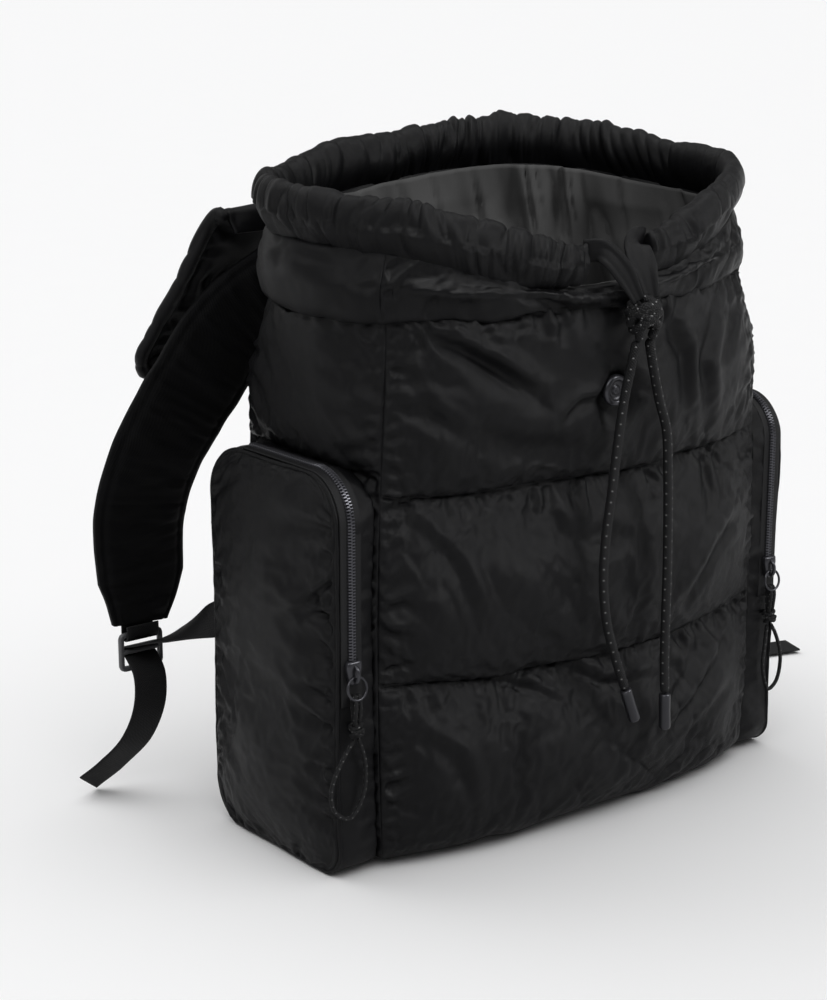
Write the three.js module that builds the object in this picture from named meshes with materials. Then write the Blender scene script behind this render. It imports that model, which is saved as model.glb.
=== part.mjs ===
// A quilted puffer backpack, standing upright with its gathered mouth open and its lid thrown back.
// Millimetres, +Z up, X across the front from left to right, Y from front to back.
// The origin is the centre of the flat underside of the base.
import * as THREE from "three";
import { mergeVertices } from "three/addons/utils/BufferGeometryUtils.js";

// Body
const bodyWidth = 284;
const bodyDepth = 124;
const bodyHeight = 346;
const bodySwell = 6;
const mouthNarrowing = 8;
const frontBow = 14;
const sideBow = 6;
const backBow = 5;
const hemRadius = 10;
const padding = 8;
const puffDepth = 13;
const seamSag = 8;

// Unpadded collar and mouth
const collarCloth = 2.4;
const collarFoldDepth = 6;
const collarBulge = 4;
const mouthSpread = 24;
const mouthDepth = 170;
const mouthShift = -12;
const mouthForward = 12;
const mouthSquareness = 2.2;
const frontDip = 26;
const sideRise = 12;
const backRise = 8.5;
const backFlatness = 4.6;
const backTilt = 10.7;
const casingHeight = 28;
const casingThickness = 18;
const casingGather = 0.07;
const casingOpening = 17.5;
const casingMiddle = -6.3;
const liningCloth = 1;
const liningSlack = 3;

// Side pockets
const pocketProud = 27;
const pocketFacePuff = 8;
const pocketReachFront = 60;
const pocketReachBack = 60;
const pocketLift = 1;
const pocketCloth = 3;
const pocketStraight = 45;

// Zips
const zipTapeWidth = 14;
const zipTapeThickness = 1.2;
const zipChainWidth = 5;
const zipChainHeight = 1.2;
const zipTooth = 0.8;
const zipEndHeight = 128;
const sliderLength = 13;
const sliderHeight = 7;
const sliderWidth = 6;
const ringDiameter = 14;
const ringWire = 1.5;
const pullCord = 2.4;
const pullKnot = 10;

// Drawcord
const drawcord = 5.5;
const cordTip = 7;
const cordTipLength = 22;
const cordKnot = 23;
const tabWidth = 12;
const tabThickness = 2.4;

// Snap
const snapDiameter = 18;
const snapHeight = 3;
const snapStandoff = 1.5;

// Lid
const lidWidth = 276;
const lidSpread = 40;
const lidSkew = -18;
const lidReach = 66;
const lidCorner = 0.12;
const lidThickness = 9;
const lidBinding = 5;

// Shoulder straps
const strapReach = 66;
const padWidth = 62;
const padThickness = 9;
const padEdge = 3;
const webbingWidth = 22;
const webbing = 1.4;
const lockWidth = 30;
const lockBar = 3.2;
const lockPitch = 10.5;

// Clearance between pieces that are sewn or pressed together
const gap = 0.3;

const V = (x, y, z) => new THREE.Vector3(x, y, z);
const lerp = THREE.MathUtils.lerp;
const smooth = THREE.MathUtils.smoothstep;

// Materials
const nylon = new THREE.MeshStandardMaterial({ color: 0x17171a, roughness: 0.45, metalness: 0 });
const liningNylon = new THREE.MeshStandardMaterial({ color: 0x1d1d20, roughness: 0.5, metalness: 0 });
const meshCloth = new THREE.MeshStandardMaterial({ color: 0x121214, roughness: 0.85, metalness: 0 });
const webbingCloth = new THREE.MeshStandardMaterial({ color: 0x131315, roughness: 0.8, metalness: 0 });
const braid = new THREE.MeshStandardMaterial({ color: 0x101012, roughness: 0.75, metalness: 0 });
const plastic = new THREE.MeshStandardMaterial({ color: 0x2b2b2e, roughness: 0.4, metalness: 0 });
const metal = new THREE.MeshStandardMaterial({ color: 0x26262a, roughness: 0.3, metalness: 0.9 });

const backpack = new THREE.Group();

function add(name, geometry, material) {
  const mesh = new THREE.Mesh(facingOut(geometry), material);
  mesh.name = name;
  backpack.add(mesh);
}

// Merges shared vertices and turns every face outwards.
function facingOut(source) {
  const bare = source.clone();
  bare.deleteAttribute("normal");
  bare.deleteAttribute("uv");
  const geometry = mergeVertices(bare, 1e-4);
  const place = geometry.attributes.position;
  const index = geometry.index.array;
  const [a, b, c] = [V(), V(), V()];
  let volume = 0;
  for (let k = 0; k < index.length; k += 3) {
    a.fromBufferAttribute(place, index[k]);
    b.fromBufferAttribute(place, index[k + 1]);
    c.fromBufferAttribute(place, index[k + 2]);
    volume += a.dot(b.cross(c));
  }
  if (volume < 0) index.reverse();
  geometry.computeVertexNormals();
  return geometry;
}

function solid(points, faces) {
  const geometry = new THREE.BufferGeometry().setFromPoints(points);
  geometry.setIndex(faces.flatMap((f) => (f.length === 3 ? f : [f[0], f[1], f[2], f[0], f[2], f[3]])));
  return geometry;
}

// A sheet with two faces, each a grid of columns by rows; ring joins the last column to the first.
function sheet(columns, rows, faceOne, faceTwo, ring = false) {
  const across = ring ? columns : columns + 1;
  const points = [];
  for (const face of [faceOne, faceTwo])
    for (let j = 0; j <= rows; j++) for (let i = 0; i < across; i++) points.push(face(i, j));
  const at = (face, i, j) => (face * (rows + 1) + j) * across + (i % across);
  const faces = [];
  for (let j = 0; j < rows; j++)
    for (let i = 0; i < columns; i++) {
      faces.push([at(0, i, j), at(0, i + 1, j), at(0, i + 1, j + 1), at(0, i, j + 1)]);
      faces.push([at(1, i, j), at(1, i, j + 1), at(1, i + 1, j + 1), at(1, i + 1, j)]);
    }
  for (let i = 0; i < columns; i++) {
    faces.push([at(0, i, 0), at(1, i, 0), at(1, i + 1, 0), at(0, i + 1, 0)]);
    faces.push([at(0, i, rows), at(0, i + 1, rows), at(1, i + 1, rows), at(1, i, rows)]);
  }
  if (!ring)
    for (let j = 0; j < rows; j++) {
      faces.push([at(0, 0, j), at(0, 0, j + 1), at(1, 0, j + 1), at(1, 0, j)]);
      faces.push([at(0, columns, j), at(1, columns, j), at(1, columns, j + 1), at(0, columns, j + 1)]);
    }
  return solid(points, faces);
}

// A solid through closed rings of points, with a point at the middle of each end.
function loft(rings) {
  const count = rings[0].length;
  const points = rings.flat();
  const faces = [];
  for (let r = 0; r + 1 < rings.length; r++)
    for (let k = 0; k < count; k++) {
      const next = (k + 1) % count;
      faces.push([r * count + k, r * count + next, (r + 1) * count + next, (r + 1) * count + k]);
    }
  for (const [ring, start] of [[rings[0], 0], [rings.at(-1), (rings.length - 1) * count]]) {
    const middle = ring.reduce((sum, p) => sum.add(p), V(0, 0, 0)).divideScalar(count);
    points.push(middle);
    for (let k = 0; k < count; k++) {
      const next = (k + 1) % count;
      const pair = start === 0 ? [start + next, start + k] : [start + k, start + next];
      faces.push([...pair, points.length - 1]);
    }
  }
  return solid(points, faces);
}

// A flat band along a route, with even steps from point to point of it.
// sideways gives the direction of its width at each share of the steps.
function band(route, steps, width, thickness, sideways) {
  const curve = new THREE.CatmullRomCurve3(route);
  const face = (turn) => (i, j) => {
    const share = j / steps;
    const along = curve.getTangent(share);
    const across = sideways(share).addScaledVector(along, -sideways(share).dot(along)).normalize();
    const normal = along.clone().cross(across);
    const place = curve.getPoint(share).addScaledVector(across, (i - 0.5) * width);
    return place.addScaledVector(normal, (turn * thickness) / 2);
  };
  return sheet(1, steps, face(1), face(-1));
}

// A round cord along a route.
function cord(route, diameter, sides, steps) {
  const circle = new THREE.EllipseCurve(0, 0, diameter / 2, diameter / 2);
  const section = new THREE.Shape(circle.getPoints(sides).slice(0, sides));
  const extrudePath = new THREE.CatmullRomCurve3(route);
  return new THREE.ExtrudeGeometry(section, { steps, bevelEnabled: false, extrudePath });
}

// Body outline

const corners = {
  front: (s, w, d) => [w * s, -d - frontBow * (1 - s * s)],
  right: (s, w, d) => [w + sideBow * (1 - s * s), d * s],
  back: (s, w, d) => [-w * s, d + backBow * (1 - s * s)],
  left: (s, w, d) => [-w - sideBow * (1 - s * s), -d * s],
};

const outward = { front: V(0, -1, 0), right: V(1, 0, 0), back: V(0, 1, 0), left: V(-1, 0, 0) };

// Quilted baffles of each panel: their seams as shares of bodyHeight, their fullness as shares of puffDepth.
const baffles = {
  front: [
    { from: 0, to: 0.315, fullness: 1 },
    { from: 0.315, to: 0.624, fullness: 1 },
    { from: 0.624, to: 0.905, fullness: 1 },
  ],
  side: [
    { from: 0, to: 0.66, fullness: 0.2 },
    { from: 0.66, to: 0.905, fullness: 0.7 },
  ],
  back: [{ from: 0, to: 0.905, fullness: 0.3 }],
};
const bafflesOf = { front: baffles.front, right: baffles.side, back: baffles.back, left: baffles.side };
const foldShare = baffles.front.at(-1).to;

function halfWidth(z) {
  const share = Math.min(z / bodyHeight, 1);
  return bodyWidth / 2 + bodySwell * Math.sin(Math.PI * share) - mouthNarrowing * share;
}

// A point of the plan outline at height z, moved inwards by inset; it rounds off towards the mouth.
function outline(panel, s, z, inset) {
  const [x, y] = corners[panel](s, halfWidth(z) - inset, bodyDepth / 2 - inset);
  const angle = Math.atan2(y + mouthForward, x - mouthShift);
  const wide = (bodyWidth + mouthSpread) / 2 - inset;
  const deep = mouthDepth / 2 - inset;
  const n = mouthSquareness;
  const reach = (Math.abs(Math.cos(angle) / wide) ** n + Math.abs(Math.sin(angle) / deep) ** n) ** (-1 / n);
  const rounding = smooth(z, 0.75 * bodyHeight, bodyHeight);
  return V(
    lerp(x, reach * Math.cos(angle) + mouthShift, rounding),
    lerp(y, reach * Math.sin(angle) - mouthForward, rounding),
    z,
  );
}

// The level direction of a point from the middle of the mouth.
function fromMouth(point) {
  return V(point.x - mouthShift, point.y + mouthForward, 0);
}

// Height of the seam under the casing: it dips where the cord pulls the front, and climbs to the back.
function casingSeam(panel, s) {
  const from = fromMouth(outline(panel, s, bodyHeight, 0));
  const u = THREE.MathUtils.clamp((2 * from.x) / (bodyWidth + mouthSpread), -1, 1);
  const v = (2 * from.y) / mouthDepth;
  const behind = (backRise * (1 - Math.abs(u) ** backFlatness) + backTilt * u) * Math.max(v, 0) ** 2;
  const before = frontDip * (1 - u * u) ** 1.5 * Math.max(-v, 0) ** 2;
  return bodyHeight + (sideRise * (v + 1)) / 2 + behind - before;
}

// How far the padded wall swells out of the plan outline.
function puff(panel, s, z) {
  const share = z / bodyHeight;
  const baffle = bafflesOf[panel].find((row) => share >= row.from && share <= row.to);
  if (!baffle) return 0;
  const t = (share - baffle.from) / (baffle.to - baffle.from);
  const edge = (1 - s ** 6) ** 0.7;
  return puffDepth * baffle.fullness * Math.sqrt(1 - (2 * t - 1) ** 2) * edge;
}

// The walls below the collar fold stand at heights, those above it at shares of the way to the casing seam.
const baffleRows = [0, 0.06, 0.22, 0.5, 0.78, 0.94];
const collarRows = [0, 0.4, 0.75, 1];

function wallRows(panel) {
  const padded = bafflesOf[panel].flatMap((row) =>
    baffleRows.map((t) => ({ height: bodyHeight * lerp(row.from, row.to, t) })),
  );
  return [...padded, ...collarRows.map((collar) => ({ collar }))];
}

// The two faces of the wall at a row: the seams sag towards the middle of the front.
function wallPoint(panel, s, row, inner) {
  const seam = casingSeam(panel, s);
  const fold = foldShare * bodyHeight;
  if (row.collar !== undefined) {
    const z = lerp(fold, seam, row.collar);
    const ease = (1 - row.collar) ** 2;
    const out = collarBulge * Math.sin(Math.PI * row.collar) - collarFoldDepth * ease;
    const inset = inner ? collarCloth : 0;
    const point = outline(panel, s, Math.min(z, bodyHeight), inset);
    point.z = z;
    return point.add(fromMouth(point).setLength(out));
  }
  const z = row.height;
  const hem = Math.min(z / hemRadius, 1);
  const sine = Math.sqrt(1 - (1 - hem) ** 2);
  const cosine = 1 - hem;
  const inset = hemRadius * (1 - sine) + (inner ? padding * sine : 0);
  const point = outline(panel, s, z, inset);
  if (inner) point.z += padding * cosine;
  else point.addScaledVector(outward[panel], puff(panel, s, z));
  const sag = panel === "front" ? seamSag * Math.sin((Math.PI * z) / fold) : 0;
  point.z -= sag * (1 - s * s);
  return point;
}

// Columns crowd towards the corner seams, where the padding dips most.
function columnShare(i, columns) {
  return Math.sin((Math.PI / 2) * ((2 * i) / columns - 1));
}

function wall(panel, columns) {
  const rows = wallRows(panel);
  const face = (inner) => (i, j) => {
    const s = columnShare(i, columns);
    const point = wallPoint(panel, s, rows[j], inner);
    const back = i === 0 ? gap : i === columns ? -gap : 0;
    return point.add(V(-outward[panel].y, outward[panel].x, 0).multiplyScalar(back));
  };
  return sheet(columns, rows.length - 1, face(false), face(true));
}

function base() {
  const [columns, rows] = [10, 6];
  const inset = hemRadius + gap;
  const face = (z) => (i, j) => {
    const [u, v] = [(2 * i) / columns - 1, (2 * j) / rows - 1];
    const w = halfWidth(0) - inset;
    const d = bodyDepth / 2 - inset;
    const bow = v < 0 ? frontBow : backBow;
    return V((w + sideBow * (1 - v * v)) * u, v * (d + bow * (1 - u * u)), z);
  };
  return sheet(columns, rows, face(0), face(padding));
}

// Steps round the four panels, each with its number of columns.
function roundBody(counts) {
  return Object.entries(counts).flatMap(([panel, count]) =>
    Array.from({ length: count }, (_, i) => ({ panel, s: columnShare(i, count) })),
  );
}

// The lining hangs loose inside the padded walls and lies close under the collar.
function lining() {
  const around = roundBody({ front: 18, right: 8, back: 10, left: 8 });
  const rows = [
    { height: 0.045, slack: 1 },
    { height: 0.3, slack: 1 },
    { height: 0.6, slack: 1 },
    { height: 0.76, slack: 1 },
    { height: 0.83, slack: 1 },
    { collar: 0, slack: 1 },
    { collar: 0.3, slack: 0.8 },
    { collar: 0.65, slack: 0.2 },
    { collar: 1, slack: 0 },
  ];
  const face = (thickness) => (i, j) => {
    const { panel, s } = around[i];
    const { height, collar, slack } = rows[j];
    const row = collar === undefined ? { height: height * bodyHeight } : { collar };
    const point = wallPoint(panel, s, row, true);
    const inwards = 4 * gap + slack * liningSlack + thickness;
    return point.sub(fromMouth(point).setLength(inwards));
  };
  return sheet(around.length, rows.length - 1, face(0), face(liningCloth), true);
}

// The gathered tube round the mouth, open at the front where the cord comes out.
function casing() {
  const sides = 8;
  const [open, shut] = [1, -1].map((turn) => (casingMiddle + turn * casingOpening) / halfWidth(bodyHeight));
  const stops = [];
  const perPanel = { front: 8, right: 9, back: 18, left: 9 };
  for (let i = 0; i <= perPanel.front; i++)
    stops.push({ panel: "front", s: lerp(open, 1, i / perPanel.front) });
  for (const panel of ["right", "back", "left"])
    for (let i = 1; i <= perPanel[panel]; i++) stops.push({ panel, s: (2 * i) / perPanel[panel] - 1 });
  for (let i = 1; i <= perPanel.front; i++)
    stops.push({ panel: "front", s: lerp(-1, shut, i / perPanel.front) });
  const rings = stops.map(({ panel, s }, k) => {
    const nearEnd = Math.min(k, stops.length - 1 - k);
    const pinch = Math.min(0.62 + 0.16 * nearEnd, 1);
    const gather = 1 + casingGather * Math.cos(Math.PI * k);
    const middle = outline(panel, s, bodyHeight, collarCloth / 2);
    const halfTube = (casingHeight / 2) * Math.cos(Math.PI / sides) * (1 + casingGather);
    middle.z = casingSeam(panel, s) + 2 * gap + halfTube;
    const radial = fromMouth(middle).normalize();
    return Array.from({ length: sides }, (_, side) => {
      const turn = (2 * Math.PI * (side + 0.5)) / sides;
      const out = (casingThickness / 2) * Math.cos(turn) * pinch * gather;
      const up = (casingHeight / 2) * Math.sin(turn) * gather;
      return middle.clone().addScaledVector(radial, out).add(V(0, 0, up));
    });
  });
  return loft(rings);
}

// Side pockets

const pocketTop = baffles.side[0].to * bodyHeight;
const pocketFaceX = bodyWidth / 2 + pocketProud;
const pocketCorners = { topFront: 26, topBack: 30, bottomBack: 32, bottomFront: 16 };

// The pocket's outline in Y and Z, inset from its real edge, as a closed list of points.
function pocketOutline(inset) {
  const front = -pocketReachFront + inset;
  const back = pocketReachBack - inset;
  const low = pocketLift + inset;
  const top = pocketTop - inset;
  const r = Object.fromEntries(Object.entries(pocketCorners).map(([key, radius]) => [key, radius - inset]));
  const path = new THREE.Path();
  path.absarc(front + r.topFront, top - r.topFront, r.topFront, Math.PI / 2, Math.PI);
  path.absarc(front + r.bottomFront, low + r.bottomFront, r.bottomFront, Math.PI, 1.5 * Math.PI);
  path.absarc(back - r.bottomBack, low + r.bottomBack, r.bottomBack, -Math.PI / 2, 0);
  path.absarc(back - r.topBack, top - r.topBack, r.topBack, 0, Math.PI / 2);
  path.closePath();
  const points = path.getPoints(3).slice(0, -1);
  return points.flatMap((point, k) => {
    const next = points[(k + 1) % points.length];
    const parts = point.distanceTo(next) > pocketStraight ? 3 : 1;
    return Array.from({ length: parts }, (_, part) => point.clone().lerp(next, part / parts));
  });
}

// Where the side of the body stands, in X, behind a point of the pocket.
function bodySide(y, z) {
  const s = THREE.MathUtils.clamp(y / (bodyDepth / 2), -1, 1);
  const hem = Math.min(z / hemRadius, 1);
  const inset = hemRadius * (1 - Math.sqrt(1 - (1 - hem) ** 2));
  return outline("right", s, z, inset).x + puff("right", s, z);
}

function pocketGusset(side) {
  const rim = pocketOutline(0);
  const bore = pocketOutline(pocketCloth);
  const face = (points) => (i, j) => {
    const { x: y, y: z } = points[i];
    const inner = bodySide(rim[i].x, rim[i].y) + 5 * gap;
    return V(side * (j === 0 ? inner : pocketFaceX), y, z);
  };
  return sheet(rim.length, 1, face(rim), face(bore), true);
}

function pocketFace(side) {
  const rows = [
    { inset: 0, rise: 0 },
    { inset: 0.5, rise: 0.35 },
    { inset: 3, rise: 0.65 },
    { inset: 12, rise: 1 },
    { inset: 15.5, rise: 1.06 },
  ];
  const rings = rows.map(({ inset, rise }) =>
    pocketOutline(inset).map(({ x: y, y: z }) => V(side * (pocketFaceX + gap + pocketFacePuff * rise), y, z)),
  );
  return loft(rings);
}

// The zip's route along the top and down the front of the gusset, in Y and Z, clear of it by lift.
function zipRoute(lift, tail) {
  const front = -pocketReachFront - lift;
  const top = pocketTop + lift;
  const radius = pocketCorners.topFront + lift;
  const path = new THREE.Path();
  path.moveTo(pocketReachBack - pocketCorners.topBack, top);
  path.absarc(front + radius, top - radius, radius, Math.PI / 2, Math.PI);
  path.lineTo(front, zipEndHeight - tail);
  return path;
}

// A strip of the zip on the gusset; tooth raises every second step of its outer face.
function zipBand(side, lift, thickness, width, steps, tooth, tail) {
  const middle = pocketFaceX - zipTapeWidth / 2 - gap;
  const routes = [0, thickness, thickness + tooth].map((height) => zipRoute(lift + height, tail));
  const face = (layer) => (i, j) => {
    const raised = layer === 1 && j % 2 === 1 ? 2 : layer;
    const { x: y, y: z } = routes[raised].getPointAt(j / steps);
    return V(side * (middle + (i - 0.5) * width), y, z);
  };
  return sheet(1, steps, face(1), face(0));
}

function zipTape(side) {
  return zipBand(side, gap, zipTapeThickness, zipTapeWidth, 18, 0, 2 * sliderLength);
}

function zipTeeth(side) {
  const lift = 2 * gap + zipTapeThickness;
  return zipBand(side, lift, zipChainHeight, zipChainWidth, 34, zipTooth, 0);
}

const sliderY = -pocketReachFront - gap - zipTapeThickness - gap;
const sliderX = pocketFaceX - zipTapeWidth / 2 - gap;
const eyeDrop = sliderLength * 0.66;
const eyeOut = sliderHeight / 2;
const ringReach = (ringDiameter - ringWire) / 2;
const ringLow = zipEndHeight - eyeDrop - ringDiameter + ringWire / 2;

// The slider is its side view pushed across the zip, with the eye that the ring hangs in.
function zipSlider(side) {
  const shape = new THREE.Shape();
  shape.moveTo(0, -gap);
  shape.lineTo(0, -sliderLength);
  shape.lineTo(eyeOut, -sliderLength);
  shape.absarc(eyeOut, -eyeDrop, eyeOut, -Math.PI / 2, 0);
  shape.lineTo(sliderHeight, -gap);
  const eye = new THREE.Path();
  eye.absarc(eyeOut, -eyeDrop, 1.5 * ringWire, 0, 2 * Math.PI);
  shape.holes.push(eye);
  const extrusion = { depth: sliderWidth, bevelEnabled: false, curveSegments: 4 };
  const geometry = new THREE.ExtrudeGeometry(shape, extrusion);
  geometry.applyMatrix4(new THREE.Matrix4().makeBasis(V(0, -1, 0), V(0, 0, 1), V(-1, 0, 0)));
  return geometry.translate(side * sliderX + sliderWidth / 2, sliderY, zipEndHeight);
}

function pullRing(side) {
  const geometry = new THREE.TorusGeometry(ringReach, ringWire / 2, 5, 14);
  geometry.rotateX(Math.PI / 2);
  return geometry.translate(side * sliderX, sliderY - eyeOut, zipEndHeight - eyeDrop - ringReach);
}

// A body of revolution by eye: rings of a given radius at given heights, about an upright axis.
function knotBody(middle, sides, rows) {
  return loft(
    rows.map(({ up, radius }) =>
      Array.from({ length: sides }, (_, k) => {
        const turn = (2 * Math.PI * k) / sides;
        return middle.clone().add(V(radius * Math.cos(turn), radius * Math.sin(turn), up));
      }),
    ),
  );
}

const knotDrop = 16;
const pullY = sliderY - eyeOut;
const pullKnotZ = ringLow - ringWire / 2 - knotDrop;

// The knot below the ring, with the doubled cord that ties it to the ring as its neck.
function pullKnotBody(side) {
  const r = pullKnot / 2;
  const neck = pullCord * 0.7;
  return knotBody(V(side * sliderX, pullY, pullKnotZ), 8, [
    { up: -r, radius: neck },
    { up: -0.7 * r, radius: 0.75 * r },
    { up: 0, radius: r },
    { up: 0.7 * r, radius: 0.75 * r },
    { up: r, radius: neck },
    { up: knotDrop - ringWire - gap, radius: neck },
  ]);
}

// The pull loops' routes, measured from the middle of the knot: outwards in X and up.
const pullLoops = {
  left: [[-1.6, -5.4], [-6, -22], [-4, -40], [5, -50.5], [15, -44], [17, -31], [9, -15], [1.6, -5.4]],
  right: [[1.6, -5.4], [7, -14], [12, -30], [9, -45], [2, -49], [-4, -34], [-3, -18], [-1.6, -5.4]],
};

function pullLoop(name, side) {
  const route = pullLoops[name].map(([out, up]) => V(side * (sliderX + out), pullY, pullKnotZ + up));
  return cord(route, pullCord, 8, 18);
}

// Drawcord, its knot, and the two cloth tabs that lead it out of the casing

const knotX = 6;
const knotY = -106;
const knotZ = 304;

const drawcordRoutes = {
  left: [
    V(1.5, -106, 290.5), V(0.5, -104.5, 282), V(-1.5, -100, 256), V(-4, -98, 228), V(-7, -98, 205),
    V(-11, -98, 177),
    V(-12, -98, 154), V(-9, -98, 129), V(-2, -98, 107), V(7, -98, 84.5),
  ],
  right: [
    V(10.5, -106, 290.5), V(16.5, -104, 273), V(26.5, -99.5, 252), V(34, -98, 234), V(36.5, -98, 204),
    V(38, -98, 156), V(38, -98, 120), V(38, -98, 99), V(39, -98, 75),
  ],
};

function tip(route) {
  const [last, previous] = [route.at(-1), route.at(-2)];
  const along = last.clone().sub(previous).normalize();
  const start = last.clone().addScaledVector(along, gap);
  const end = start.clone().addScaledVector(along, cordTipLength);
  return cord([start, end], cordTip, 10, 1);
}

function drawcordKnot() {
  const r = cordKnot / 2;
  return knotBody(V(knotX, knotY, knotZ), 10, [
    { up: -1.1 * r, radius: 0.6 * r },
    { up: -0.6 * r, radius: 0.9 * r },
    { up: 0, radius: r },
    { up: 0.5 * r, radius: 0.85 * r },
    { up: 0.8 * r, radius: 0.6 * r },
  ]);
}

function cordTab(start, end) {
  const route = [start, start.clone().lerp(end, 0.5).add(V(0, -1.5, 0)), end];
  return band(route, 4, tabWidth, tabThickness, () => V(1, 0, 0.25));
}

// The female half of a snap on the front, a dished disc.
function snap() {
  const r = snapDiameter / 2;
  const y = -(bodyDepth / 2 + frontBow + puffDepth + snapStandoff);
  const rows = [
    { out: 0, radius: r },
    { out: 0.6 * snapHeight, radius: r },
    { out: snapHeight, radius: 0.88 * r },
    { out: snapHeight, radius: 0.62 * r },
    { out: 0.5 * snapHeight, radius: 0.55 * r },
  ];
  const z = bodyHeight * lerp(baffles.front[2].from, baffles.front[2].to, 0.5) - seamSag / 2;
  return loft(
    rows.map(({ out, radius }) =>
      Array.from({ length: 12 }, (_, k) => {
        const turn = (Math.PI * k) / 6;
        return V(radius * Math.cos(turn), y - out, z + radius * Math.sin(turn));
      }),
    ),
  );
}

// Lid, thrown back behind the body

// Stations down the lid: behind is a share of lidReach, up a share of bodyHeight.
const lidStations = [
  { behind: 0.262, up: 0.985 },
  { behind: 0.33, up: 1.02 },
  { behind: 0.43, up: 1 },
  { behind: 0.53, up: 0.954 },
  { behind: 0.66, up: 0.887 },
  { behind: 0.8, up: 0.835 },
  { behind: 0.924, up: 0.783 },
  { behind: 1, up: 0.742 },
];

const lidCurve = new THREE.CatmullRomCurve3(
  lidStations.map(({ behind, up }) => V(0, bodyDepth / 2 + behind * lidReach, up * bodyHeight)),
);

// A point of the lid's middle surface: u runs across it, t down it, and past is a step beyond its edge.
function lidPoint(u, t, past = 0) {
  const end = Math.max(t - 1 + lidCorner, 0) / lidCorner;
  const rounded = lidCorner * lidWidth * 0.5 * (1 - Math.sqrt(1 - Math.min(end, 1) ** 2));
  const half = (lidWidth + lidSpread * t) / 2 - rounded + past;
  const point = lidCurve.getPointAt(t);
  return point.add(V(lidSkew * t + u * half, 0, 0)).addScaledVector(lidCurve.getTangentAt(t), past * end);
}

function lid() {
  const [columns, rows] = [10, 10];
  const face = (turn) => (i, j) => {
    const t = j / rows;
    const u = columnShare(i, columns);
    const along = lidCurve.getTangentAt(t);
    const full = Math.sqrt(Math.max(1 - u ** 4, 0)) * Math.sqrt(Math.abs(Math.sin(2 * Math.PI * t)));
    const thick = lerp(padEdge, lidThickness, full);
    return lidPoint(u, t).add(V(0, along.z, -along.y).multiplyScalar((turn * thick) / 2));
  };
  return sheet(columns, rows, face(1), face(-1));
}

function lidPiping() {
  const past = lidBinding / 2 + 4 * gap;
  const route = [];
  const stops = 10;
  for (let k = 0; k <= stops; k++) route.push(lidPoint(-1, 0.06 + (0.94 * k) / stops, past));
  for (let k = 1; k < stops; k++) route.push(lidPoint(-1 + (2 * k) / stops, 1, past));
  for (let k = stops; k >= 0; k--) route.push(lidPoint(1, 0.06 + (0.94 * k) / stops, past));
  return cord(route, lidBinding, 6, 40);
}

// Shoulder straps

// Stations down a pad: out is a share of half of bodyWidth, behind one of strapReach, up one of bodyHeight.
const padStations = [
  { out: 0.55, behind: 0.12, up: 0.93, wide: 0.85 },
  { out: 0.74, behind: 0.27, up: 0.885, wide: 0.95 },
  { out: 0.93, behind: 0.45, up: 0.82, wide: 1 },
  { out: 1.085, behind: 0.56, up: 0.73, wide: 1 },
  { out: 1.225, behind: 0.74, up: 0.615, wide: 1 },
  { out: 1.28, behind: 0.9, up: 0.5, wide: 1 },
  { out: 1.26, behind: 0.985, up: 0.385, wide: 0.93 },
  { out: 1.27, behind: 1, up: 0.303, wide: 0.6 },
];

function strapPoint(side, { out, behind, up }) {
  return V((side * out * bodyWidth) / 2, bodyDepth / 2 + behind * strapReach, up * bodyHeight);
}

function strapPad(side) {
  const [columns, rows] = [4, 14];
  const curve = new THREE.CatmullRomCurve3(padStations.map((row) => strapPoint(side, row)));
  const face = (turn) => (i, j) => {
    const t = j / rows;
    const station = t * (padStations.length - 1);
    const low = Math.min(Math.floor(station), padStations.length - 2);
    const wide = padWidth * lerp(padStations[low].wide, padStations[low + 1].wide, station - low);
    const along = curve.getTangent(t);
    const across = along.clone().cross(V(0, -1, 0)).normalize();
    const normal = across.clone().cross(along);
    const u = (2 * i) / columns - 1;
    const ends = Math.sqrt(Math.sin(Math.PI * lerp(0.02, 0.98, t)));
    const thick = lerp(padEdge, padThickness, Math.min(1.4 * ends, 1) * (1 - u * u));
    const place = curve.getPoint(t).addScaledVector(across, (u * wide) / 2);
    return place.addScaledVector(normal, (turn * thick) / 2);
  };
  return sheet(columns, rows, face(1), face(-1));
}

// The ladder lock: three bars across, level with the end of the pad.
const padEnd = strapPoint(1, padStations.at(-1));
const turnRadius = lockBar * 0.71 + gap + webbing / 2;
const topBarZ = padEnd.z - 2 * turnRadius - gap;
const middleBarZ = topBarZ - lockPitch;
const lowBarZ = middleBarZ - lockPitch;

function ladderLock(side) {
  const shape = new THREE.Shape();
  const [half, low, high] = [lockWidth / 2, lowBarZ - lockBar / 2, topBarZ + lockBar / 2];
  shape.moveTo(-half, low);
  shape.lineTo(half, low);
  shape.lineTo(half, high);
  shape.lineTo(-half, high);
  shape.closePath();
  for (const bar of [lowBarZ, middleBarZ]) {
    const slot = new THREE.Path();
    const open = webbingWidth / 2 + 2 * gap;
    const [floor, roof] = [bar + lockBar / 2, bar + lockPitch - lockBar / 2];
    slot.moveTo(-open, floor);
    slot.lineTo(-open, roof);
    slot.lineTo(open, roof);
    slot.lineTo(open, floor);
    slot.closePath();
    shape.holes.push(slot);
  }
  const geometry = new THREE.ExtrudeGeometry(shape, { depth: lockBar, bevelEnabled: false });
  geometry.rotateX(Math.PI / 2);
  return geometry.translate(side * padEnd.x, padEnd.y + lockBar / 2, 0);
}

// A half turn of webbing round a bar, from the front of the bar to its back or the other way.
function halfTurn(x, y, z, from, to) {
  return Array.from({ length: 5 }, (_, k) => {
    const turn = THREE.MathUtils.degToRad(lerp(from, to, k / 4));
    return V(x, y + turnRadius * Math.cos(turn), z + turnRadius * Math.sin(turn));
  });
}

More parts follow.
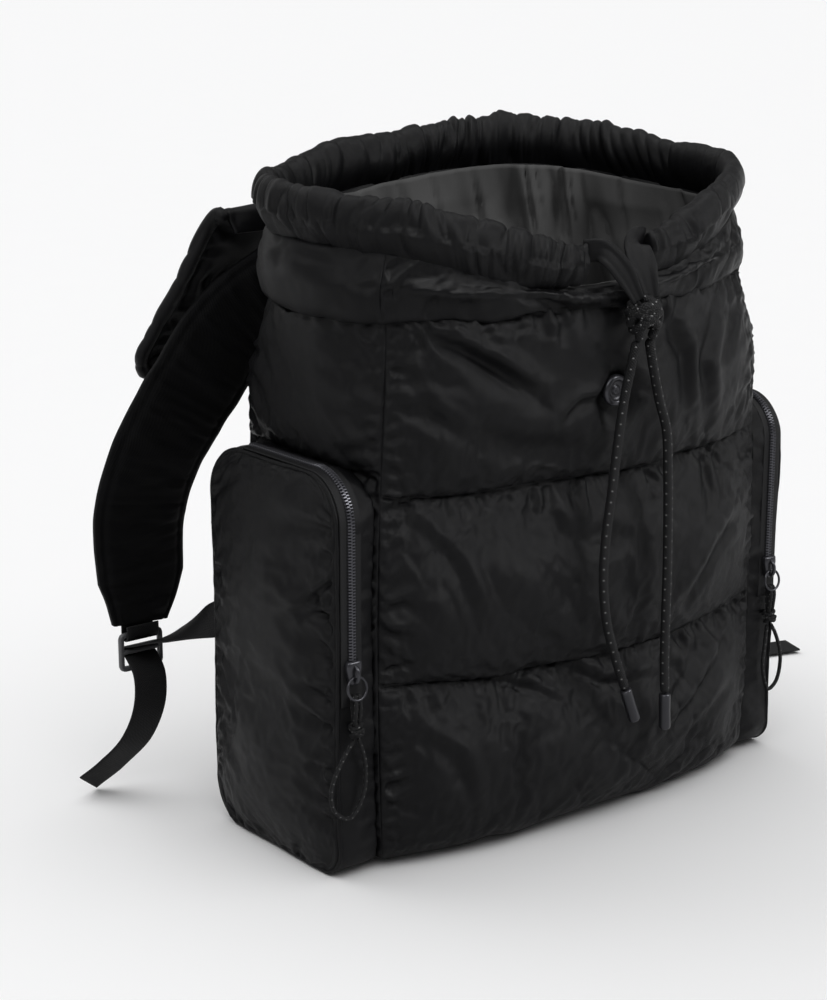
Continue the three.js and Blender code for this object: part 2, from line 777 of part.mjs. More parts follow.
function lockTab(side) {
  const x = side * padEnd.x;
  const top = padEnd.z - gap - 0.5;
  const route = [
    V(x, padEnd.y - turnRadius, top),
    ...halfTurn(x, padEnd.y, topBarZ, 180, 360),
    V(x, padEnd.y + turnRadius, top),
  ];
  return band(route, 12, webbingWidth, webbing, () => V(1, 0, 0));
}

// The webbing from the body's back corner to the lock, and its free tail down to the floor.
const loadStations = [
  { out: 0.86, behind: 0.1, up: 0.347 },
  { out: 0.99, behind: 0.13, up: 0.341 },
  { out: 1.12, behind: 0.33, up: 0.324 },
  { out: 1.21, behind: 0.63, up: 0.292 },
  { out: 1.26, behind: 0.85, up: 0.272 },
];
const tailStations = {
  left: [
    { out: 1.27, behind: 0.86, up: 0.215 },
    { out: 1.29, behind: 0.8, up: 0.165 },
    { out: 1.34, behind: 0.86, up: 0.105 },
    { out: 1.43, behind: 1, up: 0.055 },
    { out: 1.52, behind: 1.11, up: 0.022 },
  ],
  right: [
    { out: 1.3, behind: 0.8, up: 0.2 },
    { out: 1.42, behind: 0.66, up: 0.11 },
    { out: 1.68, behind: 0.4, up: 0.035 },
    { out: 1.98, behind: 0.16, up: 0.008 },
    { out: 2.28, behind: -0.05, up: 0.008 },
  ],
};

// The direction of the webbing's width at the end of each tail.
const tailEnds = { left: V(1, 0, 0), right: V(0.3, 1, 0) };

function lowerWebbing(name, side) {
  const x = side * padEnd.x;
  const turn = halfTurn(x, padEnd.y, middleBarZ, 90, -90);
  const route = [
    ...loadStations.map((row) => strapPoint(side, row)),
    ...turn,
    ...tailStations[name].map((row) => strapPoint(side, row)),
  ];
  const sideways = (share) => {
    const twist = (Math.PI / 2) * smooth(share, 0, 0.3);
    const atLock = V(Math.sin(twist), 0, Math.cos(twist));
    return atLock.lerp(tailEnds[name], smooth(share, 0.7, 0.9));
  };
  return band(route, 42, webbingWidth, webbing, sideways);
}

// Assembly

add("front_panel", wall("front", 18), nylon);
add("side_panel_left", wall("left", 8), nylon);
add("side_panel_right", wall("right", 8), nylon);
add("back_panel", wall("back", 10), nylon);
add("base_panel", base(), nylon);
add("lining", lining(), liningNylon);
add("rim_casing", casing(), nylon);
add("cord_tab_left", cordTab(V(-13, -97, 341), V(-1, -106.5, 316)), nylon);
add("cord_tab_right", cordTab(V(8, -97, 341), V(12, -106.5, 316)), nylon);
add("drawcord_knot", drawcordKnot(), braid);
add("snap", snap(), metal);
add("lid", lid(), nylon);
add("lid_binding", lidPiping(), nylon);
for (const [name, side] of [["left", -1], ["right", 1]]) {
  add(`drawcord_${name}`, cord(drawcordRoutes[name], drawcord, 8, 18), braid);
  add(`drawcord_tip_${name}`, tip(drawcordRoutes[name]), metal);
  add(`pocket_gusset_${name}`, pocketGusset(side), nylon);
  add(`pocket_face_${name}`, pocketFace(side), nylon);
  add(`zip_tape_${name}`, zipTape(side), webbingCloth);
  add(`zip_teeth_${name}`, zipTeeth(side), metal);
  add(`zip_slider_${name}`, zipSlider(side), metal);
  add(`pull_ring_${name}`, pullRing(side), metal);
  add(`pull_knot_${name}`, pullKnotBody(side), braid);
  add(`pull_loop_${name}`, pullLoop(name, side), braid);
  add(`strap_pad_${name}`, strapPad(side), meshCloth);
  add(`ladder_lock_${name}`, ladderLock(side), plastic);
  add(`lock_tab_${name}`, lockTab(side), webbingCloth);
  add(`webbing_${name}`, lowerWebbing(name, side), webbingCloth);
}

backpack.name = "quilted_backpack";
export default backpack;
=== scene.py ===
"""A quilted puffer backpack with its gathered mouth open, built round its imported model.

Sizes in this file are millimetres, and every mesh is made in metres.
"""

import math

import bmesh
import bpy
import numpy as np
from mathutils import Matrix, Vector


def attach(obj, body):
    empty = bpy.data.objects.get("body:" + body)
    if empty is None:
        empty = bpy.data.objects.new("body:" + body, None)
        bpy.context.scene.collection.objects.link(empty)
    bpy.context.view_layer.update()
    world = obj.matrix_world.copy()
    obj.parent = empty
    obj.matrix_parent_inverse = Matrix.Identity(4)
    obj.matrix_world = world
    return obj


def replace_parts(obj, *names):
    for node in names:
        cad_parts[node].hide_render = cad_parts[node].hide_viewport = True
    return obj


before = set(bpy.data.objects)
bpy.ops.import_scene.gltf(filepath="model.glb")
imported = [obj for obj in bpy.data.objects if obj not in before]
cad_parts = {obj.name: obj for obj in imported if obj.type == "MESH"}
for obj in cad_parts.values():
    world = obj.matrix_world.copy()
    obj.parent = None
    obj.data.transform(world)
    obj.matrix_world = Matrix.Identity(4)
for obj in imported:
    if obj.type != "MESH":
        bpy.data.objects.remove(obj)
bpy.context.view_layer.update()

bl_info = {
    "name": "Quilted Puffer Backpack",
    "version": (1, 0, 0),
    "blender": (4, 5, 0),
    "location": "View3D > Sidebar > Backpack",
    "description": "Builds the padded cloth, zips, cords and straps of a puffer backpack",
    "category": "Object",
}

MM = 0.001
BODY = "root"
SIDES = (("left", -1), ("right", 1))

# Sizes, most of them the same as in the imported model
BODY_WIDTH = 284
BODY_DEPTH = 124
BODY_HEIGHT = 346
BODY_SWELL = 6
MOUTH_NARROWING = 8
FRONT_BOW = 14
SIDE_BOW = 6
BACK_BOW = 5
PADDING = 8
SEAM_SAG = 8
MOUTH_WIDTH = 308
MOUTH_DEPTH = 170
MOUTH_SHIFT = -12
MOUTH_FORWARD = 12
MOUTH_SQUARENESS = 2.2
FRONT_DIP = 26
SIDE_RISE = 12
BACK_RISE = 8.5
BACK_FLATNESS = 4.6
BACK_TILT = 10.7
CASING_HEIGHT = 28
CASING_THICKNESS = 18
CASING_FLATNESS = 0.86
CASING_OPENING = 17.5
CASING_MIDDLE = -6.3
POCKET_FACE_X = 169
POCKET_REACH = 60
POCKET_LOW = 1
POCKET_TOP = 228.4
POCKET_CORNERS = {"top_front": 26, "top_back": 30, "bottom_back": 24, "bottom_front": 16}
ZIP_TAPE = 14
ZIP_END = 128
ZIP_X = 161.7
SLIDER_Y = -61.8
PULL_Y = -65.3
RING_Z = 113.2
RING_REACH = 6.25
RING_WIRE = 1.5
PULL_KNOT_Z = 89.4
PULL_CORD = 2.4
DRAWCORD = 5.5
CORD_TIP = 7
CORD_TIP_LENGTH = 22
KNOT = (6, -106, 304)
LID_WIDTH = 276
LID_SPREAD = 40
LID_SKEW = -18
LID_CORNER = 0.12
LID_REACH = 66
STRAP_REACH = 66
PAD_WIDTH = 62
PAD_THICKNESS = 9
WEBBING_WIDTH = 22
WEBBING = 1.4
LOCK_WIDTH = 30
LOCK_BAR = 3.2
LOCK_PITCH = 10.5

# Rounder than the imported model's lower edge
HEM_RADIUS = 15

# Folds pressed into the front: route in X and Z, width, depth and the lip beside it
FRONT_FOLDS = (
    (((-121, 303), (-102, 296), (-81, 284), (-56, 267)), 4.5, 6.3, 4.8),
    (((-104, 257), (-67, 241), (-15, 234)), 9, 4.5, 2.7),
    (((-41, 252), (-27, 261), (-8, 262)), 3.2, 3.3, 2.1),
    (((-12, 285), (2, 272), (26, 262)), 5, 3.6, 2.4),
    (((30, 300), (52, 278), (60, 246)), 5, 3.9, 3),
    (((84, 300), (72, 270), (82, 236)), 6, 3.3, 3),
    (((-133, 282), (-118, 262), (-98, 250)), 4, 2.7, 2.4),
    (((-74, 108), (-50, 98), (-32, 87)), 3, 3, 2.25),
    (((-26, 108), (6, 91), (38, 87)), 4, 3.9, 2.4),
    (((44, 42), (78, 62), (114, 92)), 5, 3.3, 3.3),
    (((58, 26), (86, 44), (118, 62)), 6, 2.7, 2.7),
    (((66, 130), (92, 158), (122, 172)), 5, 3, 3),
    (((-128, 204), (-104, 180), (-90, 148)), 5, 2.4, 2.4),
    (((-60, 206), (-30, 186), (16, 180)), 8, 2.7, 1.8),
    (((-132, 84), (-104, 66), (-92, 34)), 5, 2.4, 2.1),
    (((-60, 328), (-34, 320), (-6, 317)), 3.4, 4.5, 3.6),
    (((-140, 326), (-104, 321), (-62, 322)), 4, 3, 2.4),
    (((20, 321), (52, 325), (84, 333)), 3.6, 3.6, 3),
)

SNAP_HEIGHT = 260.5

# Baffles of each panel: their seams as shares of the body's height, and how full they are
BAFFLES = {
    "front": ((0, 0.315, 1), (0.315, 0.624, 1), (0.624, 0.905, 1)),
    "right": ((0, 0.66, 0.2), (0.66, 0.905, 0.75)),
    "back": ((0, 0.905, 0.35),),
    "left": ((0, 0.66, 0.2), (0.66, 0.905, 0.75)),
}
FOLD = 0.905 * BODY_HEIGHT

DRAWCORD_ROUTES = {
    "left": (
        (1.5, -106, 290.5),
        (0.5, -104.5, 282),
        (-1.5, -100, 256),
        (-4, -98, 228),
        (-7, -98, 205),
        (-11, -98, 177),
        (-12, -98, 154),
        (-9, -98, 129),
        (-2, -98, 107),
        (7, -98, 84.5),
    ),
    "right": (
        (10.5, -106, 290.5),
        (16.5, -104, 273),
        (26.5, -99.5, 252),
        (34, -98, 234),
        (36.5, -98, 204),
        (38, -98, 156),
        (38, -98, 120),
        (38, -98, 99),
        (39, -98, 75),
    ),
}

# The cloth tabs that hold the cord: their middle lines and widths
CORD_TABS = {
    "left": (((-27, -92, 341), (-19, -98, 341), (-10, -103.5, 331), (0, -107, 313)), 13),
    "right": (((16, -91, 342), (6, -97.5, 343), (6, -104, 331), (10, -107, 313)), 17),
}

# Pull loops from the middle of their knot: outwards in X and up
PULL_LOOPS = {
    "left": ((-1.6, -5.4), (-6, -22), (-4, -40), (5, -50.5), (15, -44), (17, -31), (9, -15), (1.6, -5.4)),
    "right": ((1.6, -5.4), (7, -14), (12, -30), (9, -45), (2, -49), (-4, -34), (-3, -18), (-1.6, -5.4)),
}

# The lid's middle line: shares of its reach behind the body and of the body's height
LID_STATIONS = (
    (0.262, 0.985),
    (0.33, 1.02),
    (0.43, 1),
    (0.53, 0.954),
    (0.66, 0.887),
    (0.8, 0.835),
    (0.924, 0.783),
    (1, 0.742),
)

# Strap pad stations: out, behind, up and width as shares
PAD_STATIONS = (
    (0.55, 0.12, 0.93, 0.85),
    (0.74, 0.27, 0.885, 0.95),
    (0.93, 0.45, 0.82, 1),
    (1.085, 0.56, 0.73, 1),
    (1.225, 0.74, 0.615, 1),
    (1.28, 0.9, 0.5, 1),
    (1.26, 0.985, 0.385, 0.93),
    (1.27, 1, 0.303, 0.6),
)
LOAD_STATIONS = (
    (0.86, 0.1, 0.347),
    (0.99, 0.13, 0.341),
    (1.12, 0.33, 0.324),
    (1.21, 0.63, 0.292),
    (1.26, 0.85, 0.272),
)
TAIL_STATIONS = {
    "left": (
        (1.27, 0.86, 0.215),
        (1.29, 0.8, 0.165),
        (1.34, 0.86, 0.105),
        (1.43, 1, 0.055),
        (1.52, 1.11, 0.022),
    ),
    "right": (
        (1.3, 0.8, 0.2),
        (1.42, 0.66, 0.11),
        (1.68, 0.4, 0.035),
        (1.98, 0.16, 0.008),
        (2.28, -0.05, 0.008),
    ),
}
TAIL_ENDS = {"left": (1, 0, 0), "right": (0.3, 1, 0)}


# Numbers


def smoothstep(value, low, high):
    share = np.clip((value - low) / (high - low), 0, 1)
    return share * share * (3 - 2 * share)


def lerp(a, b, share):
    return a + (b - a) * share


def unit(vectors):
    return vectors / np.maximum(np.linalg.norm(vectors, axis=-1, keepdims=True), 1e-9)


def noise(u, v, seed, octaves=2):
    """Smooth noise of two coordinates, about -1 to 1, with one lump to each unit."""
    u, v = np.broadcast_arrays(np.asarray(u, float), np.asarray(v, float))
    total = np.zeros(u.shape)
    for octave in range(octaves):
        lattice = np.random.default_rng(1000 * seed + octave).uniform(-1, 1, (97, 97))
        a = u * 2**octave + 200
        b = v * 2**octave + 200
        i = np.floor(a).astype(int)
        j = np.floor(b).astype(int)
        f = smoothstep(a - i, 0, 1)
        g = smoothstep(b - j, 0, 1)
        low = lerp(lattice[i % 97, j % 97], lattice[(i + 1) % 97, j % 97], f)
        high = lerp(lattice[i % 97, (j + 1) % 97], lattice[(i + 1) % 97, (j + 1) % 97], f)
        total += lerp(low, high, g) * 0.5**octave
    return total / (2 - 0.5 ** (octaves - 1))


# Curves


def spline(points, each=16):
    """A smooth curve through the points, with the same number of steps between each two."""
    points = np.asarray(points, float)
    if len(points) == 2:
        return lerp(points[0], points[1], np.linspace(0, 1, each + 1)[:, None])
    padded = np.vstack([2 * points[0] - points[1], points, 2 * points[-1] - points[-2]])
    out = []
    for k in range(len(points) - 1):
        p = padded[k : k + 4]
        knots = np.cumsum([0, *(np.linalg.norm(np.diff(p, axis=0), axis=1) ** 0.5 + 1e-6)])
        t = np.linspace(knots[1], knots[2], each, endpoint=False)[:, None]
        a = [
            ((knots[i + 1] - t) * p[i] + (t - knots[i]) * p[i + 1]) / (knots[i + 1] - knots[i])
            for i in range(3)
        ]
        b = [
            ((knots[i + 2] - t) * a[i] + (t - knots[i]) * a[i + 1]) / (knots[i + 2] - knots[i])
            for i in range(2)
        ]
        out.append(((knots[2] - t) * b[0] + (t - knots[1]) * b[1]) / (knots[2] - knots[1]))
    return np.vstack([*out, points[-1:]])


def arc(points):
    return np.concatenate([[0], np.cumsum(np.linalg.norm(np.diff(points, axis=0), axis=1))])


def resample(points, count):
    """The same line with evenly spaced points."""
    run = arc(points)
    at = np.linspace(0, run[-1], count)
    return np.stack([np.interp(at, run, points[:, axis]) for axis in range(3)], axis=1)


def line_frames(path, first=(0.3, 0.5, 0.8)):
    """Directions along, across and out of a line, carried along it without twist."""
    along = unit(np.gradient(path, axis=0))
    across = np.empty_like(along)
    side = np.cross(along[0], first)
    for k, tangent in enumerate(along):
        side = side - tangent * np.dot(side, tangent)
        side = side / np.linalg.norm(side)
        across[k] = side
    return along, across, np.cross(along, across)


# Meshes


def make_mesh(name, points, faces, uv, finish, smooth=True):
    """An object from points in millimetres, with its faces turned outwards."""
    mesh = bpy.data.meshes.new(name)
    mesh.from_pydata((np.asarray(points, float) * MM).tolist(), [], faces)
    if uv is not None:
        layer = mesh.uv_layers.new(name="cloth")
        index = np.empty(len(mesh.loops), int)
        mesh.loops.foreach_get("vertex_index", index)
        layer.data.foreach_set("uv", (np.asarray(uv, float)[index] * MM).astype(np.float32).ravel())
    work = bmesh.new()
    work.from_mesh(mesh)
    bmesh.ops.recalc_face_normals(work, faces=work.faces)
    work.to_mesh(mesh)
    work.free()
    mesh.polygons.foreach_set("use_smooth", [smooth] * len(mesh.polygons))
    mesh.update()
    piece = bpy.data.objects.new(name, mesh)
    bpy.context.scene.collection.objects.link(piece)
    mesh.materials.append(finish)
    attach(piece, BODY)
    return piece


def grid_faces(rows, columns, start=0, ring=False, flip=False):
    """Quads of a grid of points, numbered row by row."""
    index = start + np.arange(rows * columns).reshape(rows, columns)
    if ring:
        index = np.hstack([index, index[:, :1]])
    quads = np.stack([index[:-1, :-1], index[:-1, 1:], index[1:, 1:], index[1:, :-1]], -1).reshape(-1, 4)
    return (quads[:, ::-1] if flip else quads).tolist()


def grid_uv(points):
    """Distances across and up a grid, in millimetres, from its middle lines."""
    rows, columns = points.shape[:2]
    u = arc(points[rows // 2])
    v = arc(points[:, columns // 2])
    return np.stack(np.meshgrid(u, v), -1).reshape(-1, 2)


def closed_panel(name, outer, inner_of, steps, finish):
    """A padded panel: a fine outer grid, and a coarse inner one that closes it behind."""
    rows, columns = outer.shape[:2]
    up = np.round(np.linspace(0, rows - 1, steps[0] + 1)).astype(int)
    across = np.round(np.linspace(0, columns - 1, steps[1] + 1)).astype(int)
    inner = inner_of(up, across)
    start = rows * columns
    at = np.arange(start).reshape(rows, columns)
    back = start + np.arange(inner.shape[0] * inner.shape[1]).reshape(inner.shape[:2])
    faces = grid_faces(rows, columns)
    faces += grid_faces(inner.shape[0], inner.shape[1], start, flip=True)
    for k in range(steps[1]):
        a, b = across[k], across[k + 1]
        faces.append([*at[0, a : b + 1][::-1].tolist(), int(back[0, k]), int(back[0, k + 1])])
        faces.append([*at[-1, a : b + 1].tolist(), int(back[-1, k + 1]), int(back[-1, k])])
    for k in range(steps[0]):
        a, b = up[k], up[k + 1]
        faces.append([*at[a : b + 1, 0].tolist(), int(back[k + 1, 0]), int(back[k, 0])])
        faces.append([*at[a : b + 1, -1][::-1].tolist(), int(back[k, -1]), int(back[k + 1, -1])])
    uv = np.vstack([grid_uv(outer), np.zeros((inner.shape[0] * inner.shape[1], 2))])
    points = np.vstack([outer.reshape(-1, 3), inner.reshape(-1, 3)])
    return make_mesh(name, points, faces, uv, finish)


def loft(name, rings, finish, ring_closed=True, looped=False):
    """A solid through rings of points, closed at its two ends or looped back on itself."""
    rings = np.asarray(rings, float)
    rows, columns = rings.shape[:2]
    run_u = arc(np.vstack([rings[rows // 2], rings[rows // 2][:1]]))[:columns]
    run_v = arc(rings[:, 0])
    uv = np.stack(np.meshgrid(run_u, run_v), -1).reshape(-1, 2)
    if looped:
        index = np.arange(rows * columns).reshape(rows, columns)
        index = np.vstack([index, index[:1]])
        index = np.hstack([index, index[:, :1]])
        quads = np.stack([index[:-1, :-1], index[:-1, 1:], index[1:, 1:], index[1:, :-1]], -1)
        faces = quads.reshape(-1, 4).tolist()
    else:
        faces = grid_faces(rows, columns, ring=ring_closed)
        faces.append(list(range(columns))[::-1])
        faces.append(list(range((rows - 1) * columns, rows * columns)))
    return make_mesh(name, rings.reshape(-1, 3), faces, uv, finish)


def tube(name, path, radius, sides, finish, relief=None, rounded=True):
    """A round cord along a path, with rounded ends; relief adds to its radius at each ring and side."""
    path = np.asarray(path, float)
    _, across, out = line_frames(path)
    run = arc(path)
    turn = 2 * np.pi * np.arange(sides) / sides
    size = np.broadcast_to(np.asarray(radius, float), (len(path),))[:, None] * np.ones(sides)
    if relief is not None:
        size = size + relief(run[:, None], turn[None, :])
    if rounded:
        reach = np.minimum(run, run[-1] - run)[:, None] / np.maximum(size, 1e-6)
        size = size * np.sqrt(np.clip(1 - (1 - np.clip(reach, 0.08, 1)) ** 2, 0, 1))
    rings = path[:, None] + size[..., None] * (
        np.cos(turn)[None, :, None] * across[:, None] + np.sin(turn)[None, :, None] * out[:, None]
    )
    piece = loft(name, rings, finish)
    layer = piece.data.uv_layers["cloth"]
    index = np.empty(len(piece.data.loops), int)
    piece.data.loops.foreach_get("vertex_index", index)
    widest = float(np.max(np.broadcast_to(np.asarray(radius, float), (len(path),))))
    around = (index % sides) / sides * 2 * np.pi * widest
    along = run[index // sides]
    layer.data.foreach_set("uv", (np.stack([around, along], -1) * MM).astype(np.float32).ravel())
    return piece


def ribbon(name, path, across, width, thickness, finish, taper=None):
    """A flat woven band with rounded edges; across gives the direction of its width at each point."""
    path = np.asarray(path, float)
    along = unit(np.gradient(path, axis=0))
    across = across - along * np.sum(across * along, axis=1, keepdims=True)
    across = unit(across)
    out = np.cross(along, across)
    half = thickness / 2
    flat = np.linspace(-1, 1, 9)
    section = [(u * (width / 2 - half), half) for u in flat]
    section += [
        (width / 2 - half * (1 - math.cos(a)), half * math.sin(a)) for a in np.radians((50, 20, -20, -50))
    ]
    section += [(u * (width / 2 - half), -half) for u in flat[::-1]]
    section += [
        (-width / 2 + half * (1 - math.cos(a)), half * math.sin(a)) for a in np.radians((-50, -20, 20, 50))
    ]
    section = np.array(section)
    rings = (
        path[:, None]
        + across[:, None] * section[None, :, :1]
        + out[:, None] * section[None, :, 1:]
    )
    if taper is not None:
        rings = rings + along[:, None] * taper(section[None, :, :1], arc(path)[:, None, None])
    piece = loft(name, rings, finish)
    layer = piece.data.uv_layers["cloth"]
    index = np.empty(len(piece.data.loops), int)
    piece.data.loops.foreach_get("vertex_index", index)
    uv = np.stack([section[index % len(section), 0], arc(path)[index // len(section)]], -1)
    layer.data.foreach_set("uv", (uv * MM).astype(np.float32).ravel())
    return piece


def joined(name, pieces):
    """One object out of several."""
    work = bmesh.new()
    for piece in pieces:
        work.from_mesh(piece.data)
    first = pieces[0]
    work.to_mesh(first.data)
    work.free()
    first.data.polygons.foreach_set("use_smooth", [True] * len(first.data.polygons))
    for piece in pieces[1:]:
        mesh = piece.data
        bpy.data.objects.remove(piece)
        bpy.data.meshes.remove(mesh)
    first.name = name
    first.data.name = name
    return first


# Cloth


def settle(points, pinned, filled, pressure, excess, reach, seed):
    """Lets cloth that is sewn down at its pinned points fill and crumple.

    excess is how much more cloth there is than the seams take, and reach caps how far a point moves.
    """
    rows, columns = points.shape[:2]
    jitter = np.random.default_rng(seed).normal(0, 0.08, points.shape)
    jitter[pinned] = 0
    start = (points + jitter).reshape(-1, 3)
    index = np.arange(rows * columns).reshape(rows, columns)
    faces = []
    for j in range(rows - 1):
        for i in range(columns - 1):
            a, b, c, d = (
                int(n) for n in (index[j, i], index[j, i + 1], index[j + 1, i + 1], index[j + 1, i])
            )
            faces += [(a, b, c), (a, c, d)] if (i + j) % 2 else [(a, b, d), (b, c, d)]
    mesh = bpy.data.meshes.new("settling")
    mesh.from_pydata((start * MM).tolist(), [], faces)
    mesh.update()
    cloth = bpy.data.objects.new("settling", mesh)
    scene = bpy.context.scene
    scene.collection.objects.link(cloth)
    sewn = cloth.vertex_groups.new(name="sewn")
    sewn.add(index[pinned].ravel().tolist(), 1.0, "REPLACE")
    inflated = cloth.vertex_groups.new(name="filled")
    for level in np.unique(np.round(filled, 2)):
        inflated.add(index[np.round(filled, 2) == level].ravel().tolist(), float(level), "REPLACE")
    settings = cloth.modifiers.new("settle", "CLOTH").settings
    settings.quality = 5
    settings.mass = 0.1
    settings.tension_stiffness = 15
    settings.compression_stiffness = 15
    settings.shear_stiffness = 4
    settings.bending_stiffness = 0.5
    settings.vertex_group_mass = "sewn"
    settings.use_pressure = True
    settings.uniform_pressure_force = pressure
    settings.vertex_group_pressure = "filled"
    settings.shrink_min = -excess
    settings.effector_weights.gravity = 0
    for step in range(1, 21):
        scene.frame_set(step)
    settled = cloth.evaluated_get(bpy.context.evaluated_depsgraph_get())
    out = np.empty(rows * columns * 3)
    settled.data.vertices.foreach_get("co", out)
    bpy.data.objects.remove(cloth)
    bpy.data.meshes.remove(mesh)
    scene.frame_set(1)
    moved = out.reshape(points.shape) / MM - points
    far = np.linalg.norm(moved, axis=-1, keepdims=True)
    return points + moved * np.minimum(1, reach / np.maximum(far, 1e-6))


def refine(points):
    """Twice as many rows and columns, on a smooth surface through the same points."""
    for _ in range(2):
        p = np.concatenate([2 * points[:1] - points[1:2], points, 2 * points[-1:] - points[-2:-1]])
        between = (-p[:-3] + 9 * p[1:-2] + 9 * p[2:-1] - p[3:]) / 16
        out = np.empty((2 * len(points) - 1, *points.shape[1:]))
        out[::2] = points
        out[1::2] = between
        points = out.swapaxes(0, 1)
    return points


def refine_flat(values):
    return refine(values[..., None])[..., 0]


def grid_normals(points):
    return unit(np.cross(np.gradient(points, axis=1), np.gradient(points, axis=0)))


def raise_by(points, amount):
    """The grid moved out along its own normals by an amount at each point."""
    return points + grid_normals(points) * amount[..., None]


def crease(a, b, route, width, depth, lip=0.0):
    """A pressed-in fold along a route in cloth coordinates, with a raised lip on its left."""
    route = np.asarray(route, float)
    nearest = np.full(a.shape, 1e9)
    side = np.zeros(a.shape)
    share = np.zeros(a.shape)
    run = arc(np.column_stack([route, np.zeros(len(route))]))
    for k in range(len(route) - 1):
        step = route[k + 1] - route[k]
        length = np.linalg.norm(step)
        t = np.clip(((a - route[k, 0]) * step[0] + (b - route[k, 1]) * step[1]) / length**2, 0, 1)
        da = a - route[k, 0] - t * step[0]
        db = b - route[k, 1] - t * step[1]
        distance = np.hypot(da, db)
        closer = distance < nearest
        nearest = np.where(closer, distance, nearest)
        side = np.where(closer, np.sign(step[0] * db - step[1] * da), side)
        share = np.where(closer, (run[k] + t * length) / run[-1], share)
    fade = np.sin(np.pi * np.clip(share, 0.03, 0.97)) ** 0.6
    signed = nearest * side
    valley = -depth * np.exp(-((nearest / width) ** 2))
    ridge = lip * np.exp(-(((signed - 1.5 * width) / (1.2 * width)) ** 2))
    return (valley + ridge) * fade


def puckers(along, away, low, high, seed, pitch=6.0, reach=14.0, depth=1.2, lean=0.25):
    """Short folds that run off a gathered seam, from low to high along it."""
    rng = np.random.default_rng(seed + 500)
    total = np.zeros(along.shape)
    place = low
    while place < high:
        place += pitch * rng.uniform(0.45, 1.6)
        length = reach * rng.uniform(0.3, 1.25) ** 1.5
        narrow = pitch * rng.uniform(0.16, 0.34)
        slant = rng.normal(0, lean)
        width = narrow * (1 + away / (0.7 * reach))
        offset = (along - place - slant * away) / width
        near = np.exp(-((away / length) ** 2)) * (away >= 0)
        total += depth * rng.uniform(0.4, 1.2) * (
            0.55 * np.exp(-((offset - 1.6) ** 2)) - np.exp(-(offset**2))
        ) * near
    return total


# Shape of the body


def half_width(z):
    share = np.minimum(z / BODY_HEIGHT, 1)
    return BODY_WIDTH / 2 + BODY_SWELL * np.sin(np.pi * share) - MOUTH_NARROWING * share


def outline(panel, s, z, inset):
    """Points of the plan outline at heights z; it rounds off towards the mouth."""
    w = half_width(z) - inset
    d = BODY_DEPTH / 2 - inset
    middle = 1 - s * s
    if panel == "front":
        x, y = w * s, -d - FRONT_BOW * middle
    elif panel == "right":
        x, y = w + SIDE_BOW * middle, d * s
    elif panel == "back":
        x, y = -w * s, d + BACK_BOW * middle
    else:
        x, y = -w - SIDE_BOW * middle, -d * s
    angle = np.arctan2(y + MOUTH_FORWARD, x - MOUTH_SHIFT)
    wide = MOUTH_WIDTH / 2 - inset
    deep = MOUTH_DEPTH / 2 - inset
    n = MOUTH_SQUARENESS
    reach = (np.abs(np.cos(angle) / wide) ** n + np.abs(np.sin(angle) / deep) ** n) ** (-1 / n)
    rounding = smoothstep(z, 0.75 * BODY_HEIGHT, BODY_HEIGHT)
    x = lerp(x, reach * np.cos(angle) + MOUTH_SHIFT, rounding)
    y = lerp(y, reach * np.sin(angle) - MOUTH_FORWARD, rounding)
    return np.stack([x, y, z + 0 * x], -1)


def from_mouth(points):
    """Level directions of points from the middle of the mouth."""
    return np.stack([points[..., 0] - MOUTH_SHIFT, points[..., 1] + MOUTH_FORWARD, 0 * points[..., 0]], -1)


def casing_seam(panel, s):
    """Height of the seam under the casing."""
    away = from_mouth(outline(panel, s, np.full(np.shape(s), float(BODY_HEIGHT)), 0))
    u = np.clip(2 * away[..., 0] / MOUTH_WIDTH, -1, 1)
    v = 2 * away[..., 1] / MOUTH_DEPTH
    behind = (BACK_RISE * (1 - np.abs(u) ** BACK_FLATNESS) + BACK_TILT * u) * np.maximum(v, 0) ** 2
    before = FRONT_DIP * (1 - u * u) ** 1.5 * np.maximum(-v, 0) ** 2
    return BODY_HEIGHT + SIDE_RISE * (v + 1) / 2 + behind - before


OUTWARD = {"front": (0, -1, 0), "right": (1, 0, 0), "back": (0, 1, 0), "left": (-1, 0, 0)}


def baffle_profile(t, lowest):
    """How far a baffle stands out from its lower seam to its upper one: fullest below its middle."""
    t = np.clip(t, 0, 1)
    return np.where(lowest, t**0.9 * (1 - t) ** 0.8 / 0.3087, t**0.5 * (1 - t) ** 0.72 / 0.4385)


def wall_rows(panel, step, collar_rows):
    """The wall's rows: height in the padded part, share of the way up the collar above it, and its baffle."""
    rows = []
    for number, (low, high, _) in enumerate(BAFFLES[panel]):
        count = int(round((high - low) * BODY_HEIGHT / step))
        for k in range(count):
            t = k / count
            t = lerp(t, (1 - math.cos(math.pi * t)) / 2, 0.45)
            rows.append((lerp(low, high, t) * BODY_HEIGHT, -1.0, number, t))
    for k in range(collar_rows + 1):
        rows.append((FOLD, k / collar_rows, -1, 0.0))
    return np.array(rows)


